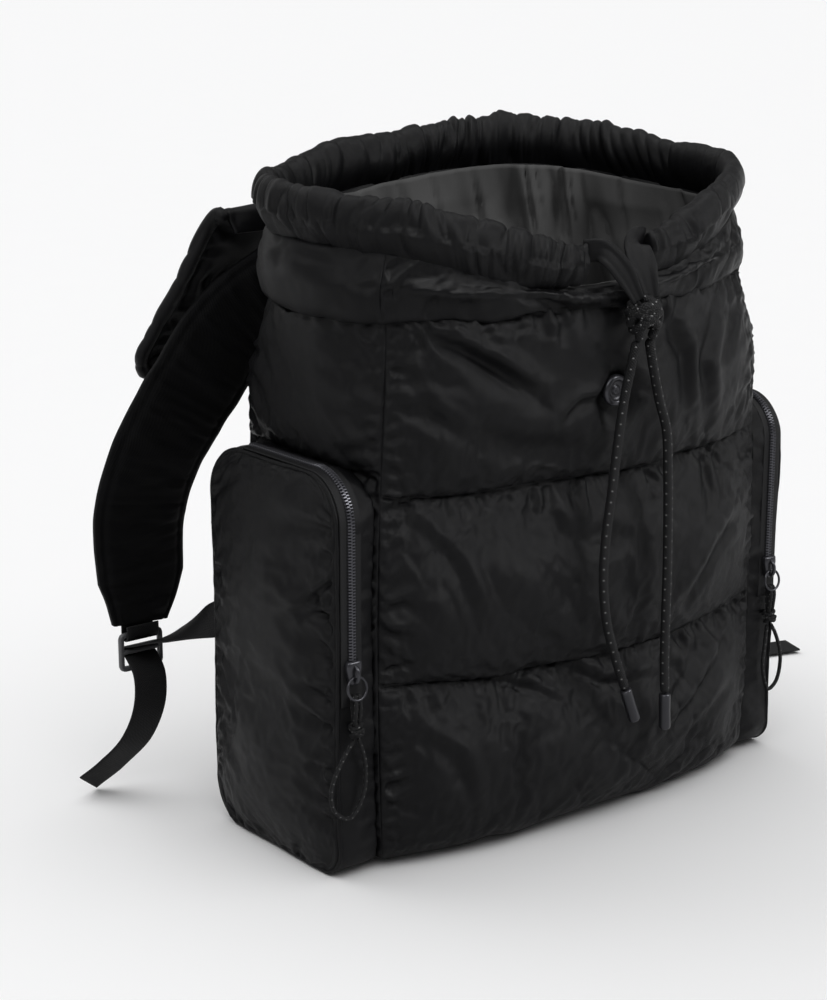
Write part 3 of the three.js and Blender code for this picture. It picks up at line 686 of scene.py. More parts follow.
def wall_points(panel, s, rows, depth, inner=False):
    """The wall's points at columns s and the given rows; depth is how far a full baffle swells."""
    s = s[None, :]
    height, collar, number, t = (rows[:, k][:, None] for k in range(4))
    seam = casing_seam(panel, s)
    # Padded part
    z = height + 0 * s
    hem = np.minimum(z / HEM_RADIUS, 1)
    sine = np.sqrt(1 - (1 - hem) ** 2)
    inset = HEM_RADIUS * (1 - sine) + (PADDING * sine if inner else 0)
    padded = outline(panel, s, z, inset)
    padded[..., 2] += 1.5 * noise(
        padded[..., 0] / 30 + padded[..., 1] / 30, z / 60, 18, 1
    ) * smoothstep(z, 30, 80)
    fullness = np.zeros_like(z)
    for k, (_, _, full) in enumerate(BAFFLES[panel]):
        fullness = np.where(number == k, full, fullness)
    edge = np.clip(1 - np.abs(s) ** 6, 0, 1) ** 0.7
    if inner:
        padded[..., 2] += PADDING * (1 - hem)
    else:
        puff = depth * fullness * baffle_profile(t, number == 0) * edge
        padded += puff[..., None] * np.array(OUTWARD[panel])
        droop = 0.42 * puff * (1 - t) ** 2 * (number > 0)
        padded[..., 2] -= droop
    if panel == "front":
        padded[..., 2] -= SEAM_SAG * np.sin(np.pi * z / FOLD) * (1 - s * s)
    # Collar
    c = np.clip(collar, 0, 1)
    high = lerp(FOLD, seam, c)
    loose = outline(panel, s, np.minimum(high, BODY_HEIGHT), 2.4 if inner else 0)
    loose[..., 2] = high
    out = 4 * np.sin(np.pi * c) - 6 * (1 - c) ** 4 if inner else 7 * np.sin(
        np.pi * c**0.55
    ) - 9 * (1 - c) ** 5
    if not inner:
        hang = 7 + 2.5 * noise(loose[..., 0] / 28, loose[..., 1] / 28, 19, 1)
        loose[..., 2] -= hang * np.exp(-(((c - 0.16) / 0.13) ** 2))
    loose += unit(from_mouth(loose)) * out[..., None]
    return np.where(collar[..., None] >= 0, loose, padded)


def wall_columns(count):
    s = np.linspace(-1, 1, count)
    return lerp(s, np.sin(np.pi / 2 * s), 0.45)


def strap_point(side, station):
    out, behind, up = station[:3]
    return np.array([side * out * BODY_WIDTH / 2, BODY_DEPTH / 2 + behind * STRAP_REACH, up * BODY_HEIGHT])


# Finishes


def node_group(name, inputs, outputs):
    """An empty shader group with named inputs (name, kind, default) and outputs (name, kind)."""
    group = bpy.data.node_groups.new(name, "ShaderNodeTree")
    for label, kind, default in inputs:
        socket = group.interface.new_socket(name=label, in_out="INPUT", socket_type=kind)
        if default is not None:
            socket.default_value = default
    for label, kind in outputs:
        group.interface.new_socket(name=label, in_out="OUTPUT", socket_type=kind)
    return group, group.nodes.new("NodeGroupInput"), group.nodes.new("NodeGroupOutput")


def put(tree, kind, **values):
    """A node with its properties and, under their names, its inputs set."""
    node = tree.nodes.new(kind)
    for key, value in values.items():
        if key in node.bl_rna.properties and key not in ("inputs", "outputs"):
            setattr(node, key, value)
        else:
            node.inputs[key.replace("_", " ")].default_value = value
    return node


def math_node(tree, operation, a, b=None):
    node = tree.nodes.new("ShaderNodeMath")
    node.operation = operation
    for socket, value in zip(node.inputs, (a, b)):
        if value is None:
            continue
        if isinstance(value, (int, float)):
            socket.default_value = value
        else:
            tree.links.new(value, socket)
    return node.outputs[0]


def weave_group():
    """Crossing threads from the cloth's own coordinates: a height and a mask of the raised threads."""
    name = "thread weave"
    if name in bpy.data.node_groups:
        return bpy.data.node_groups[name]
    inputs = [("Pitch", "NodeSocketFloat", 0.0006), ("Slant", "NodeSocketFloat", 0.0)]
    tree, start, end = node_group(
        name, inputs, [("Height", "NodeSocketFloat"), ("Thread", "NodeSocketFloat")]
    )
    uv = put(tree, "ShaderNodeUVMap", uv_map="cloth")
    parts = put(tree, "ShaderNodeSeparateXYZ")
    tree.links.new(uv.outputs[0], parts.inputs[0])
    pitch = start.outputs["Pitch"]
    turn = math_node(tree, "DIVIDE", 2 * math.pi, pitch)
    across = math_node(
        tree, "ADD", parts.outputs[0], math_node(tree, "MULTIPLY", parts.outputs[1], start.outputs["Slant"])
    )
    along = math_node(
        tree, "SUBTRACT", parts.outputs[1], math_node(
            tree, "MULTIPLY", parts.outputs[0], start.outputs["Slant"]
        )
    )
    warp = math_node(tree, "SINE", math_node(tree, "MULTIPLY", across, turn))
    weft = math_node(tree, "SINE", math_node(tree, "MULTIPLY", along, turn))
    height = math_node(tree, "MULTIPLY", warp, weft)
    tree.links.new(height, end.inputs["Height"])
    tree.links.new(math_node(tree, "GREATER_THAN", height, 0.25), end.inputs["Thread"])
    return tree


def crumple_group():
    """Soft wrinkles of two sizes over the surface: a height and a slow unevenness."""
    name = "soft wrinkles"
    if name in bpy.data.node_groups:
        return bpy.data.node_groups[name]
    inputs = [("Size", "NodeSocketFloat", 60.0), ("Fine", "NodeSocketFloat", 0.35)]
    tree, start, end = node_group(
        name, inputs, [("Height", "NodeSocketFloat"), ("Uneven", "NodeSocketFloat")]
    )
    place = put(tree, "ShaderNodeTexCoord")
    broad = put(tree, "ShaderNodeTexNoise", Detail=3.0, Roughness=0.5, Distortion=0.6)
    fine = put(tree, "ShaderNodeTexNoise", Detail=4.0, Roughness=0.6, Distortion=0.3)
    slow = put(tree, "ShaderNodeTexNoise", Scale=14.0, Detail=3.0, Roughness=0.55)
    for node in (broad, fine, slow):
        tree.links.new(place.outputs["Object"], node.inputs["Vector"])
    tree.links.new(start.outputs["Size"], broad.inputs["Scale"])
    tree.links.new(math_node(tree, "MULTIPLY", start.outputs["Size"], 4.0), fine.inputs["Scale"])
    fold = math_node(tree, "ABSOLUTE", math_node(tree, "SUBTRACT", broad.outputs["Fac"], 0.5))
    detail = math_node(tree, "MULTIPLY", fine.outputs["Fac"], start.outputs["Fine"])
    tree.links.new(math_node(tree, "ADD", fold, detail), end.inputs["Height"])
    tree.links.new(slow.outputs["Fac"], end.inputs["Uneven"])
    return tree


def braid_group():
    """Diagonal strands round a cord, some of them light: a height and a mask of the flecks."""
    name = "cord braid"
    if name in bpy.data.node_groups:
        return bpy.data.node_groups[name]
    inputs = [
        ("Around", "NodeSocketFloat", 0.017),
        ("Strands", "NodeSocketFloat", 8.0),
        ("Pitch", "NodeSocketFloat", 0.0022),
    ]
    tree, start, end = node_group(name, inputs, [("Height", "NodeSocketFloat"), ("Fleck", "NodeSocketFloat")])
    uv = put(tree, "ShaderNodeUVMap", uv_map="cloth")
    parts = put(tree, "ShaderNodeSeparateXYZ")
    tree.links.new(uv.outputs[0], parts.inputs[0])
    around = math_node(
        tree, "MULTIPLY", math_node(
            tree, "DIVIDE", parts.outputs[0], start.outputs["Around"]
        ), start.outputs["Strands"]
    )
    along = math_node(tree, "DIVIDE", parts.outputs[1], start.outputs["Pitch"])
    one = math_node(tree, "ADD", around, along)
    two = math_node(tree, "SUBTRACT", around, along)
    ridge_one = math_node(
        tree, "ABSOLUTE", math_node(tree, "SINE", math_node(tree, "MULTIPLY", one, math.pi))
    )
    ridge_two = math_node(
        tree, "ABSOLUTE", math_node(tree, "SINE", math_node(tree, "MULTIPLY", two, math.pi))
    )
    height = math_node(tree, "MULTIPLY", ridge_one, ridge_two)
    cells = []
    for strand, every in ((one, 4.0), (two, 4.0)):
        cell = math_node(tree, "ADD", math_node(tree, "FLOOR", strand), 4000.0)
        cells.append(math_node(tree, "LESS_THAN", math_node(tree, "MODULO", cell, every), 0.5))
    odd = math_node(tree, "MULTIPLY", cells[0], cells[1])
    tree.links.new(height, end.inputs["Height"])
    tree.links.new(
        math_node(tree, "MULTIPLY", odd, math_node(tree, "GREATER_THAN", height, 0.35)), end.inputs["Fleck"]
    )
    return tree


def blend_colour(tree, mask, dark, light):
    """A colour that runs from dark to light with a mask."""
    mix = tree.nodes.new("ShaderNodeMix")
    mix.data_type = "RGBA"
    tree.links.new(mask, mix.inputs["Factor"])
    mix.inputs["A"].default_value = (*dark, 1)
    mix.inputs["B"].default_value = (*light, 1)
    return mix.outputs["Result"]


def new_finish(name):
    material = bpy.data.materials.new(name)
    material.use_nodes = True
    tree = material.node_tree
    return material, tree, tree.nodes["Principled BSDF"]


def bump(tree, shader, height, strength, distance, under=None):
    node = tree.nodes.new("ShaderNodeBump")
    node.inputs["Strength"].default_value = strength
    node.inputs["Distance"].default_value = distance
    tree.links.new(height, node.inputs["Height"])
    if under is not None:
        tree.links.new(under, node.inputs["Normal"])
    tree.links.new(node.outputs["Normal"], shader.inputs["Normal"])
    return node.outputs["Normal"]


def ranged(tree, value, low, high):
    """A value from 0 to 1 spread over another range."""
    return math_node(tree, "ADD", math_node(tree, "MULTIPLY", value, high - low), low)


def cloth_finish(name, colour, rough, wrinkle, pitch, level=0.3, sheen=0.0, weave=0.4, size=60.0, slant=0.0):
    """Woven cloth: threads, soft wrinkles and a slow change of tone and gloss."""
    if name in bpy.data.materials:
        return bpy.data.materials[name]
    material, tree, shader = new_finish(name)
    threads = put(tree, "ShaderNodeGroup", node_tree=weave_group())
    threads.inputs["Pitch"].default_value = pitch
    threads.inputs["Slant"].default_value = slant
    soft = put(tree, "ShaderNodeGroup", node_tree=crumple_group())
    soft.inputs["Size"].default_value = size
    dark = tuple(0.75 * c for c in colour)
    light = tuple(1.25 * c for c in colour)
    tree.links.new(blend_colour(tree, soft.outputs["Uneven"], dark, light), shader.inputs["Base Color"])
    tree.links.new(
        ranged(tree, soft.outputs["Uneven"], rough - 0.07, rough + 0.07), shader.inputs["Roughness"]
    )
    shader.inputs["Specular IOR Level"].default_value = level
    shader.inputs["Sheen Weight"].default_value = sheen
    shader.inputs["Sheen Roughness"].default_value = 0.45
    under = bump(tree, shader, soft.outputs["Height"], wrinkle, 0.0012)
    bump(tree, shader, threads.outputs["Height"], weave, 0.00012, under)
    return material


def finishes():
    """Every finish of the backpack by name."""
    tones = bpy.context.scene.backpack_tones
    nylon = tuple(tones.nylon)
    dark = tuple(tones.webbing)
    made = {
        "nylon": cloth_finish("satin_nylon", nylon, 0.36, 0.12, 0.0005, level=0.11),
        "lining": cloth_finish("lining_nylon", tuple(tones.lining), 0.36, 0.14, 0.0006, level=0.07),
        "pad": cloth_finish(
            "strap_cloth", tuple(0.5 * c for c in dark), 0.6, 0.3, 0.0011, level=0.06, weave=0.8
        ),
        "webbing": cloth_finish("ribbed_webbing", dark, 0.55, 0.1, 0.0016, level=0.16, weave=1.0, slant=0.35),
        "braid": braid_finish("flecked_braid", dark, tuple(tones.fleck), 0.01728, 8.0, 0.0016),
        "fine_braid": braid_finish("flecked_pull_cord", dark, tuple(tones.fleck), 0.00754, 6.0, 0.0011),
        "plastic": hard_finish("moulded_plastic", tuple(tones.plastic), 0.42, 0.0),
        "metal": hard_finish("lacquered_metal", tuple(tones.metal), 0.3, 0.7),
    }
    return made


def braid_finish(name, dark, light, around, strands, pitch):
    if name in bpy.data.materials:
        return bpy.data.materials[name]
    material, tree, shader = new_finish(name)
    braid = put(tree, "ShaderNodeGroup", node_tree=braid_group())
    braid.inputs["Around"].default_value = around
    braid.inputs["Strands"].default_value = strands
    braid.inputs["Pitch"].default_value = pitch
    tree.links.new(blend_colour(tree, braid.outputs["Fleck"], dark, light), shader.inputs["Base Color"])
    tree.links.new(ranged(tree, braid.outputs["Height"], 0.7, 0.45), shader.inputs["Roughness"])
    shader.inputs["Specular IOR Level"].default_value = 0.16
    bump(tree, shader, braid.outputs["Height"], 0.9, 0.0004)
    return material


def hard_finish(name, colour, rough, metallic):
    """Moulded plastic or lacquered metal with faint unevenness, and painted glints: a lighter colour on its
    sharpest convex edges.
    """
    if name in bpy.data.materials:
        return bpy.data.materials[name]
    material, tree, shader = new_finish(name)
    soft = put(tree, "ShaderNodeGroup", node_tree=crumple_group())
    soft.inputs["Size"].default_value = 500.0
    # Painted glints: where pointiness finds a sharp convex edge, the colour turns up to three times lighter.
    edge_geometry = put(tree, "ShaderNodeNewGeometry")
    painted_edge_glint = math_node(tree, "SUBTRACT", edge_geometry.outputs["Pointiness"], 0.5)
    painted_edge_glint = math_node(tree, "MULTIPLY", painted_edge_glint, 6.0)
    node = tree.nodes.new("ShaderNodeClamp")
    tree.links.new(painted_edge_glint, node.inputs["Value"])
    light = tuple(min(1, 3.0 * c) for c in colour)
    tree.links.new(blend_colour(tree, node.outputs[0], colour, light), shader.inputs["Base Color"])
    tree.links.new(
        ranged(tree, soft.outputs["Uneven"], rough - 0.08, rough + 0.08), shader.inputs["Roughness"]
    )
    shader.inputs["Metallic"].default_value = metallic
    bump(tree, shader, soft.outputs["Height"], 0.06, 0.0004)
    return material


# Sizes and colours that a user may change


class BackpackSizes(bpy.types.PropertyGroup):
    puff_depth: bpy.props.FloatProperty(
        name="Puff depth",
        description="How far a full baffle swells before it settles, in millimetres",
        default=12.5, min=2, max=20,
    )
    cloth_step: bpy.props.FloatProperty(
        name="Cloth step",
        description="Spacing of the cloth's points, in millimetres",
        default=2.7, min=1.5, max=8,
    )
    pucker_depth: bpy.props.FloatProperty(
        name="Pucker depth",
        description="Depth of the short folds along the seams, in millimetres",
        default=2.3, min=0, max=4,
    )
    gather_depth: bpy.props.FloatProperty(
        name="Gather depth",
        description="Depth of the gathers of the mouth's casing, in millimetres",
        default=3.0, min=0, max=6,
    )
    tooth_pitch: bpy.props.FloatProperty(
        name="Tooth pitch",
        description="Spacing of the zip's teeth, in millimetres",
        default=1.7, min=1, max=4,
    )


class BackpackTones(bpy.types.PropertyGroup):
    nylon: bpy.props.FloatVectorProperty(
        name="Nylon", description="Colour of the padded cloth", default=(
            0.003, 0.003, 0.0034
        ), subtype="COLOR", min=0, max=1
    )
    lining: bpy.props.FloatVectorProperty(
        name="Lining", description="Colour of the lining", default=(
            0.0035, 0.0035, 0.0038
        ), subtype="COLOR", min=0, max=1
    )
    webbing: bpy.props.FloatVectorProperty(
        name="Webbing", description="Colour of webbing, tape and cord", default=(
            0.005, 0.005, 0.0055
        ), subtype="COLOR", min=0, max=1
    )
    fleck: bpy.props.FloatVectorProperty(
        name="Flecks", description="Colour of the light strands in the cords", default=(
            0.12, 0.12, 0.12
        ), subtype="COLOR", min=0, max=1
    )
    plastic: bpy.props.FloatVectorProperty(
        name="Plastic", description="Colour of the ladder locks", default=(
            0.03, 0.03, 0.032
        ), subtype="COLOR", min=0, max=1
    )
    metal: bpy.props.FloatVectorProperty(
        name="Metal", description="Colour of the zips, snap and cord tips", default=(
            0.022, 0.022, 0.025
        ), subtype="COLOR", min=0, max=1
    )


class BackpackStudio(bpy.types.PropertyGroup):
    ambient: bpy.props.FloatProperty(
        name="Ambient light", description="Strength of the even light", default=0.2, min=0, max=3
    )
    key: bpy.props.FloatProperty(
        name="Key lights", description="Strength of the lights on the backpack", default=2.4, min=0, max=10
    )
    top: bpy.props.FloatProperty(
        name="Top light", description="Strength of the overhead light", default=2.25, min=0, max=10
    )
    floor: bpy.props.FloatVectorProperty(
        name="Floor", description="Colour of the floor", default=(0.94, 0.94, 0.945), subtype="COLOR",
        min=0, max=1,
    )


# Pieces


class BACKPACK_OT_stage(bpy.types.Operator):
    """Adds the camera, the pale floor and the studio lights"""

    bl_idname = "backpack.stage"
    bl_label = "Stage"

    def execute(self, context):
        studio = context.scene.backpack_studio
        scene = context.scene
        camera = bpy.data.objects.new("camera", bpy.data.cameras.new("camera"))
        scene.collection.objects.link(camera)
        camera.location = (-0.830, -0.970, 0.520)
        aim = Vector((-0.0713, 0, 0.1896)) - camera.location
        camera.rotation_euler = aim.to_track_quat("-Z", "Y").to_euler()
        camera.data.sensor_fit = "VERTICAL"
        camera.data.sensor_height = 36
        camera.data.lens = 79.52
        scene.camera = camera
        scene.view_settings.view_transform = "Standard"
        world = bpy.data.worlds.new("studio")
        world.use_nodes = True
        world.node_tree.nodes["Background"].inputs["Color"].default_value = (1, 1, 1, 1)
        world.node_tree.nodes["Background"].inputs["Strength"].default_value = studio.ambient
        scene.world = world
        mesh = bpy.data.meshes.new("floor")
        size = 30
        mesh.from_pydata(
            [(-size, -size, 0), (size, -size, 0), (size, size, 0), (-size, size, 0)], [], [(0, 1, 2, 3)]
        )
        floor = bpy.data.objects.new("floor", mesh)
        scene.collection.objects.link(floor)
        material, tree, shader = new_finish("pale_floor")
        soft = put(tree, "ShaderNodeGroup", node_tree=crumple_group())
        soft.inputs["Size"].default_value = 3.0
        shade = tuple(studio.floor)
        lighter = tuple(min(1, 1.01 * c) for c in shade)
        tree.links.new(
            blend_colour(tree, soft.outputs["Uneven"], shade, lighter), shader.inputs["Base Color"]
        )
        shader.inputs["Roughness"].default_value = 0.9
        shader.inputs["Specular IOR Level"].default_value = 0.1
        mesh.materials.append(material)
        unlit = bpy.data.collections.new("left out by the keys")
        unlit.objects.link(floor)
        unlit.collection_objects[0].light_linking.link_state = "EXCLUDE"
        for name, toward, strength, spread in (
            ("key right", (-0.58, 0.7, -0.62), studio.key, 28),
            ("key left", (0.75, 0.42, -0.8), 0.5 * studio.key, 26),
            ("top", (0.05, 0.1, -1.0), studio.top, 90),
            ("rim", (0.2, -1.0, -0.75), 0.25 * studio.top, 60),
        ):
            light = bpy.data.objects.new(name, bpy.data.lights.new(name, "SUN"))
            light.data.energy = strength
            light.data.angle = math.radians(spread)
            light.rotation_euler = Vector(toward).to_track_quat("-Z", "Y").to_euler()
            scene.collection.objects.link(light)
            if name.startswith("key"):
                light.light_linking.receiver_collection = unlit
        return {"FINISHED"}


class BACKPACK_OT_cords(bpy.types.Operator):
    """Adds the drawcord's two ends with their tips and knot, and the zips' pull loops"""

    bl_idname = "backpack.cords"
    bl_label = "Cords"

    def execute(self, context):
        made = finishes()
        for name, _ in SIDES:
            route = spline(DRAWCORD_ROUTES[name])
            along = unit(np.array(DRAWCORD_ROUTES[name][-1], float) - DRAWCORD_ROUTES[name][-2])
            path = resample(route, 220)
            cord = tube(
                f"drawcord_end_{name}",
                path,
                DRAWCORD / 2,
                24,
                made["braid"],
                relief=braid_relief(8, 1.6, 0.16),
            )
            start = path[-1] + along * 0.3
            tip_path = np.array(
                [start + along * step for step in (0, 0.4, 1, 3, 10, 18, 20.6, 21.4, CORD_TIP_LENGTH)]
            )
            sizes = np.array([0.8, 0.94, 1, 1, 0.97, 1, 1, 0.95, 0.8]) * CORD_TIP / 2
            tip = tube(f"cord_tip_{name}", tip_path, sizes, 24, made["metal"], rounded=False)
            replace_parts(cord, f"drawcord_{name}")
            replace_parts(tip, f"drawcord_tip_{name}")
        knot = drawcord_knot(made)
        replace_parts(knot, "drawcord_knot")
        for name, side in SIDES:
            route = [(side * (ZIP_X + out), PULL_Y, PULL_KNOT_Z + up) for out, up in PULL_LOOPS[name]]
            path = resample(spline(route), 170)
            loop = tube(
                f"zip_pull_loop_{name}",
                path,
                PULL_CORD / 2,
                16,
                made["fine_braid"],
                relief=braid_relief(6, 1.1, 0.1),
            )
            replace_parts(loop, f"pull_loop_{name}")
            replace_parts(pull_knot(name, side, made), f"pull_knot_{name}")
        return {"FINISHED"}


def braid_relief(strands, pitch, depth):
    """Raised diagonal strands on a cord."""

    def relief(along, turn):
        around = strands * turn / (2 * np.pi)
        one = np.abs(np.sin(np.pi * (around + along / pitch)))
        two = np.abs(np.sin(np.pi * (around - along / pitch)))
        return depth * (one * two - 0.5)

    return relief


def wound_cord(middle, size, turns, tilt, cord, seed, made, name, finish):
    """A knot as the eye sees it: cord wound round a small ball, each turn leaning another way."""
    steps = 46 * turns
    t = np.linspace(0, 1, steps)
    swing = 2 * np.pi * turns * t
    lean = tilt * np.sin(2 * np.pi * t * (turns - 1) / turns * 1.5 + seed)
    x = np.cos(swing) * np.cos(lean)
    y = np.sin(swing) * np.cos(lean * 0.6)
    z = np.sin(lean) * np.cos(swing + seed) + (t - 0.5) * 1.1
    path = np.stack([x, y, z], -1) / np.maximum(
        np.linalg.norm(np.stack([x, y, 0.8 * z], -1), axis=-1, keepdims=True), 0.6
    )
    path = np.asarray(middle) + path * np.asarray(size)
    path = resample(path, steps * 2)
    return tube(name, path, cord / 2, 16, made[finish], relief=braid_relief(8, 1.6, 0.12))


def drawcord_knot(made):
    middle = np.array(KNOT, float)
    size = np.array([8.6, 8.0, 8.2])
    wound = wound_cord(middle, size, 3, 0.75, DRAWCORD, 0.6, made, "drawcord_knot_turns", "braid")
    x, y, z = middle
    leads = [
        [
            (x - 4, y - 1, z - 13.5),
            (x - 5.5, y - 4, z - 6),
            (x - 3, y - 6.5, z + 2),
            (x + 2, y - 3, z + 8),
            (x + 1, y + 2, z + 10),
        ],
        [
            (x + 4.5, y - 1, z - 13.5),
            (x + 6.5, y - 3, z - 7),
            (x + 6.5, y - 5, z + 1),
            (x + 3, y - 4, z + 7),
            (x - 3, y, z + 10.5),
        ],
        [
            (x - 7, y + 3, z - 6),
            (x - 8.5, y - 1, z + 1),
            (x - 4, y - 6, z + 6),
            (x + 4, y - 6.5, z + 3),
            (x + 8.5, y - 1, z - 3),
            (x + 6, y + 4, z - 8),
        ],
    ]
    pieces = [wound]
    for number, route in enumerate(leads):
        path = resample(spline(route), 70)
        pieces.append(
            tube(
                f"knot_lead_{number}",
                path,
                DRAWCORD / 2,
                16,
                made["braid"],
                relief=braid_relief(8, 1.6, 0.12),
            )
        )
    return joined("drawcord_knot_turns", pieces)


def pull_knot(name, side, made):
    """The small knot under the ring, with the doubled cord that ties it to the ring."""
    x = side * ZIP_X
    middle = np.array([x, PULL_Y, PULL_KNOT_Z])
    pieces = [
        wound_cord(
            middle, (3.6, 3.6, 4.0), 3, 0.8, PULL_CORD, 1.1, made, f"zip_pull_knot_{name}", "fine_braid"
        )
    ]
    top = RING_Z - RING_REACH
    for lean in (-1, 1):
        route = [
            (x + lean * 1.3, PULL_Y - 0.5, PULL_KNOT_Z + 2),
            (x + lean * 1.5, PULL_Y - 1.4, PULL_KNOT_Z + 8),
            (x + lean * 1.4, PULL_Y - 2.0, top - 1.5),
            (x + lean * 1.3, PULL_Y - 0.6, top + 2.0),
            (x + lean * 1.3, PULL_Y + 1.6, top + 1.0),
            (x + lean * 1.4, PULL_Y + 1.5, top - 3),
            (x + lean * 1.2, PULL_Y + 0.6, PULL_KNOT_Z + 4),
        ]
        path = resample(spline(route), 70)
        pieces.append(
            tube(
                f"pull_lead_{name}_{lean}",
                path,
                PULL_CORD / 2,
                14,
                made["fine_braid"],
                relief=braid_relief(6, 1.1, 0.08),
            )
        )
    return joined(f"zip_pull_knot_{name}", pieces)


def drape(a, b, seed, slant, pitch=15.0, length=70.0):
    """Long soft folds that run one way and fade out in places."""
    c, s = math.cos(slant), math.sin(slant)
    over = a * s + b * c
    along = a * c - b * s
    ridges = np.abs(
        noise(over / pitch + 0.5 * noise(a / 50, b / 50, seed + 1), along / length, seed, 1)
    ) ** 0.75
    here = smoothstep(noise(a / 62, b / 48, seed + 2, 1), -0.15, 0.5)
    return (ridges - 0.4) * here


def wall_details(panel, a, b, seed):
    """Folds of a wall in its own coordinates: a across from its middle, b up."""
    total = 1.1 * noise(a / 52 + 9 * seed, b / 36, 3, 1) + 0.22 * noise(a / 17 + 5 * seed, b / 13, 4, 1)
    total += 3.2 * drape(a, b, 140 + 7 * seed, 0.75, 19) + 2.2 * drape(a, b, 170 + 7 * seed, -0.6, 15)
    if panel == "front":
        for route, width, depth, lip in FRONT_FOLDS:
            total += crease(a, b, route, width, depth, lip)
        total -= 8.5 * np.exp(-((np.hypot(a, b - SNAP_HEIGHT) / 13) ** 4))
        crumpled = np.exp(-(((a + 72) / 34) ** 2) - ((b - 308) / 12) ** 2)
        total += 2.4 * crumpled * (np.abs(noise(a / 9, b / 6, 15, 1)) ** 0.7 - 0.4)
    collar = smoothstep(b, FOLD, FOLD + 6)
    total += 1.5 * collar * (np.abs(noise(a / 19 + 4 * seed, b / 9, 16, 1)) ** 0.8 - 0.4)
    return total


class BACKPACK_OT_body(bpy.types.Operator):
    """Adds the four padded walls, with their seams, and the base"""

    bl_idname = "backpack.body"
    bl_label = "Body"

    def execute(self, context):
        sizes = context.scene.backpack_sizes
        made = finishes()
        widths = {"front": BODY_WIDTH, "right": BODY_DEPTH, "back": BODY_WIDTH, "left": BODY_DEPTH}
        names = {
            "front": "front_panel",
            "right": "side_panel_right",
            "back": "back_panel",
            "left": "side_panel_left",
        }
        for seed, panel in enumerate(names):
            step = sizes.cloth_step * (1.5 if panel == "back" else 1)
            columns = int(widths[panel] / step)
            rows = wall_rows(panel, step, 13)
            s = wall_columns(columns)
            points = wall_points(panel, s, rows, sizes.puff_depth)
            collar = rows[:, 1] >= 0
            seams = np.concatenate([[True], np.diff(rows[:, 2]) != 0])
            pinned = np.zeros(points.shape[:2], bool)
            pinned[seams] = True
            pinned[rows[:, 0] < 8] = True
            pinned[-1] = True
            pinned[:, [0, -1]] = True
            filled = np.where(collar, 0.05, 1.0)[:, None] * np.ones(columns)
            for number, (_, _, full) in enumerate(BAFFLES[panel]):
                filled[rows[:, 2] == number] *= max(full, 0.25)
            points = settle(points, pinned, filled, 3.2, 0.012, 9, seed + 1)
            points = refine(points)
            high = refine_flat(rows[:, :1] * np.ones(columns))
            across = refine_flat(np.ones((len(rows), 1)) * s * widths[panel] / 2)
            share = np.clip(refine_flat(rows[:, 1:2] * np.ones(columns)), 0, 1)
            up = high + share * 30
            amount = wall_details(panel, across, up, seed) * (
                0.25 + 0.75 * (1 - np.abs(across / widths[panel] * 2) ** 4)
            )
            fade_hem = smoothstep(high, 4, 30)
            depth = sizes.pucker_depth
            for number, (low, top, full) in enumerate(BAFFLES[panel]):
                for level, sign in ((low, 1), (top, -1)):
                    if level == 0:
                        continue
                    away = (up - level * BODY_HEIGHT) * sign
                    inside = (high >= low * BODY_HEIGHT) & (high <= top * BODY_HEIGHT) & (share <= 0)
                    strength = depth * (0.5 + 0.5 * full) * (0.35 if sign > 0 else 1)
                    half = widths[panel] / 2
                    folds = puckers(across, away, -half, half, 40 * seed + 2 * number + sign, 9, 20, strength)
                    amount += np.where(inside, folds * smoothstep(away, 0, 3), 0)
            for sign in (-1, 1):
                away = widths[panel] / 2 - sign * across
                folds = puckers(up, away, 0, 330, 70 + 5 * seed + sign, 7.5, 20, depth)
                amount += 0.8 * folds * fade_hem
            points = raise_by(points, amount * smoothstep(widths[panel] / 2 - np.abs(across), 0, 4.5))
            points[..., 2] = np.maximum(points[..., 2], 0.1)

            def inner_of(up_index, across_index, panel=panel, rows=rows, s=s):
                fine_rows = np.stack(
                    [refine_flat(rows[:, k : k + 1] * np.ones(2))[:, 0] for k in range(4)], 1
                )
                fine_rows[:, 1] = np.where(fine_rows[:, 1] < 0, -1, fine_rows[:, 1])
                fine_s = np.interp(np.arange(2 * len(s) - 1) / 2, np.arange(len(s)), s)
                return wall_points(panel, fine_s[across_index], fine_rows[up_index], 0, inner=True)

            steps = (16, 12)
            wall = closed_panel(f"padded_{names[panel]}", points, inner_of, steps, made["nylon"])
            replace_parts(wall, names[panel])
        base = base_panel(made)
        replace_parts(base, "base_panel")
        return {"FINISHED"}


def base_panel(made):
    inset = HEM_RADIUS + 0.3
    u, v = np.meshgrid(np.linspace(-1, 1, 60), np.linspace(-1, 1, 30))
    w = half_width(0) - inset
    d = BODY_DEPTH / 2 - inset
    bow = np.where(v < 0, FRONT_BOW, BACK_BOW)
    points = np.stack([(w + SIDE_BOW * (1 - v * v)) * u, v * (d + bow * (1 - u * u)), 0 * u], -1)
    lower = points.copy()
    lower[..., 2] = np.clip(0.25 + 0.25 * noise(points[..., 0] / 20, points[..., 1] / 20, 9), 0, 1)

    def inner_of(up_index, across_index):
        inner = points[np.ix_(up_index, across_index)].copy()
        inner[..., 2] = PADDING
        return inner

    return closed_panel(
        "padded_base_panel",
        lower[:, ::-1],
        lambda r,
        c: inner_of(r, 59 - c),
        (6, 8),
        made["nylon"],
    )


class BACKPACK_OT_mouth(bpy.types.Operator):
    """Adds the gathered casing round the mouth, the two cord tabs and the lining"""

    bl_idname = "backpack.mouth"
    bl_label = "Mouth"

    def execute(self, context):
        sizes = context.scene.backpack_sizes
        made = finishes()
        casing = gathered_casing(sizes, made)
        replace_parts(casing, "rim_casing")
        lining = hanging_lining(made)
        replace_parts(lining, "lining")
        for name in CORD_TABS:
            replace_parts(cord_tab(name, made), f"cord_tab_{name}")
        return {"FINISHED"}


